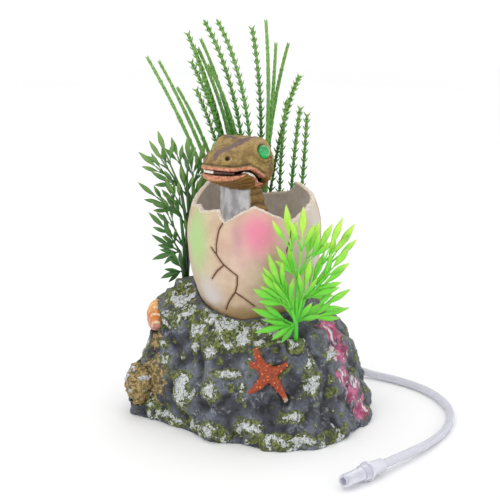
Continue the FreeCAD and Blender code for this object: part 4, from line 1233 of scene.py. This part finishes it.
def make_rear_fronds():
    """Every frond node's stems; a node whose stems are mostly seen edge on is paler."""
    dice = random.Random(17)
    for number, (across, forward, stems) in enumerate(REAR_FRONDS, 1):
        loft = Loft()
        depth = REAR_ROOT_Y - forward
        for index, (bend, tip, edge_on) in enumerate(stems):
            sway = dice.uniform(-4, 4) + (3 if index else 0)
            places = ((across, depth, REAR_FLOOR - 2.5), (bend[0], depth + sway * 0.4, bend[1]),
                      (tip[0], depth + sway, tip[1]))
            add_stem(loft, dice, *map(np.array, places), edge_on)
        node = "rear_frond_%d" % number
        pale = sum(edge_on for _, _, edge_on in stems) * 2 > len(stems)
        material = "needle_pale" if pale else "needle"
        add_piece(node + "_needles", loft.mesh(node), material, node)


def make_plugs():
    """The moulded plugs that hold the plants; the front one is daubed over like the rock around it."""
    for node in ("front_plant_plug", "left_plant_plug", "rear_plant_plug_left", "rear_plant_plug_right"):
        plug = Skin.of_node(node, voxel=0.4, smoothing=6)
        lumps = clouds(plug.points, 3, 3, 51)
        if node == "front_plant_plug":
            plug.push(0.55 * lumps - 0.1)
            lichen = 2.2 * clouds(plug.points, 4, 3, 52) - 0.5
            plug.finish(node + "_cast", "rock", "bright_green_plastic", node, moss=0.9 + lumps, lichen=lichen)
        else:
            plug.push(0.15 * lumps - 0.1)
            plug.finish(node + "_cast", "dark_plug", "dark_green_plastic", node)


make_rear_fronds()
make_plugs()

# The CAD nodes whose shape is already right take a finished material.
for node, material in (
    ("eye_left", "eye"), ("eye_right", "eye"), ("jaw_hinge_pin", "brass"), ("inner_air_tube", "tube"),
    ("air_nozzle", "fitting"), ("inlet_grommet", "rubber"),
):
    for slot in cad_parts[node].material_slots:
        slot.material = MATERIALS[material]


# ---- floor, light and camera, in metres ------------------------------------------------
FLOOR_REACH = 3
LIGHT_TARGET = Vector((0, 0, 0.08))
# Name, place, width and power.
LIGHTS = (
    ("key", (-0.45, -0.65, 0.8), 0.5, 1.3),
    ("fill", (0.7, -0.5, 0.45), 0.6, 0.35),
    ("top", (0.1, 0.35, 0.9), 0.6, 0.6),
)
CAMERA_PLACE, CAMERA_TILT = (-0.0002, -0.5453, 0.205), math.radians(77.5)


def make_floor():
    mesh = bpy.data.meshes.new("floor")
    corners = [(x * FLOOR_REACH, y * FLOOR_REACH, 0) for x, y in ((-1, -1), (1, -1), (1, 1), (-1, 1))]
    mesh.from_pydata(corners, [], [(0, 1, 2, 3)])
    paint = Paint("floor_paper", Specular_IOR_Level=0.1)
    white = paint.mix(paint.clouds(400, 2), (250, 250, 250), (246, 246, 247))
    mesh.materials.append(paint.finish(white, paint.clouds(50), (0.85, 0.95)))
    floor = put_in_scene("floor", mesh)


def make_studio():
    world = bpy.data.worlds.new("studio")
    world.use_nodes = True
    background = world.node_tree.nodes["Background"]
    background.inputs["Color"].default_value = (1, 1, 1, 1)
    background.inputs["Strength"].default_value = 1.06
    bpy.context.scene.world = world
    for name, place, width, power in LIGHTS:
        data = bpy.data.lights.new(name, "AREA")
        data.shape = "DISK"
        data.size = width
        data.energy = power
        light = put_in_scene(name, data)
        light.location = place
        light.rotation_euler = (LIGHT_TARGET - Vector(place)).to_track_quat("-Z", "Y").to_euler()
    lens = bpy.data.cameras.new("camera")
    lens.lens = 81.9
    lens.sensor_width = 36
    camera = put_in_scene("camera", lens)
    camera.location = CAMERA_PLACE
    camera.rotation_euler = (CAMERA_TILT, 0, 0)
    bpy.context.scene.camera = camera
    bpy.context.scene.view_settings.view_transform = "Standard"


make_floor()
make_studio()
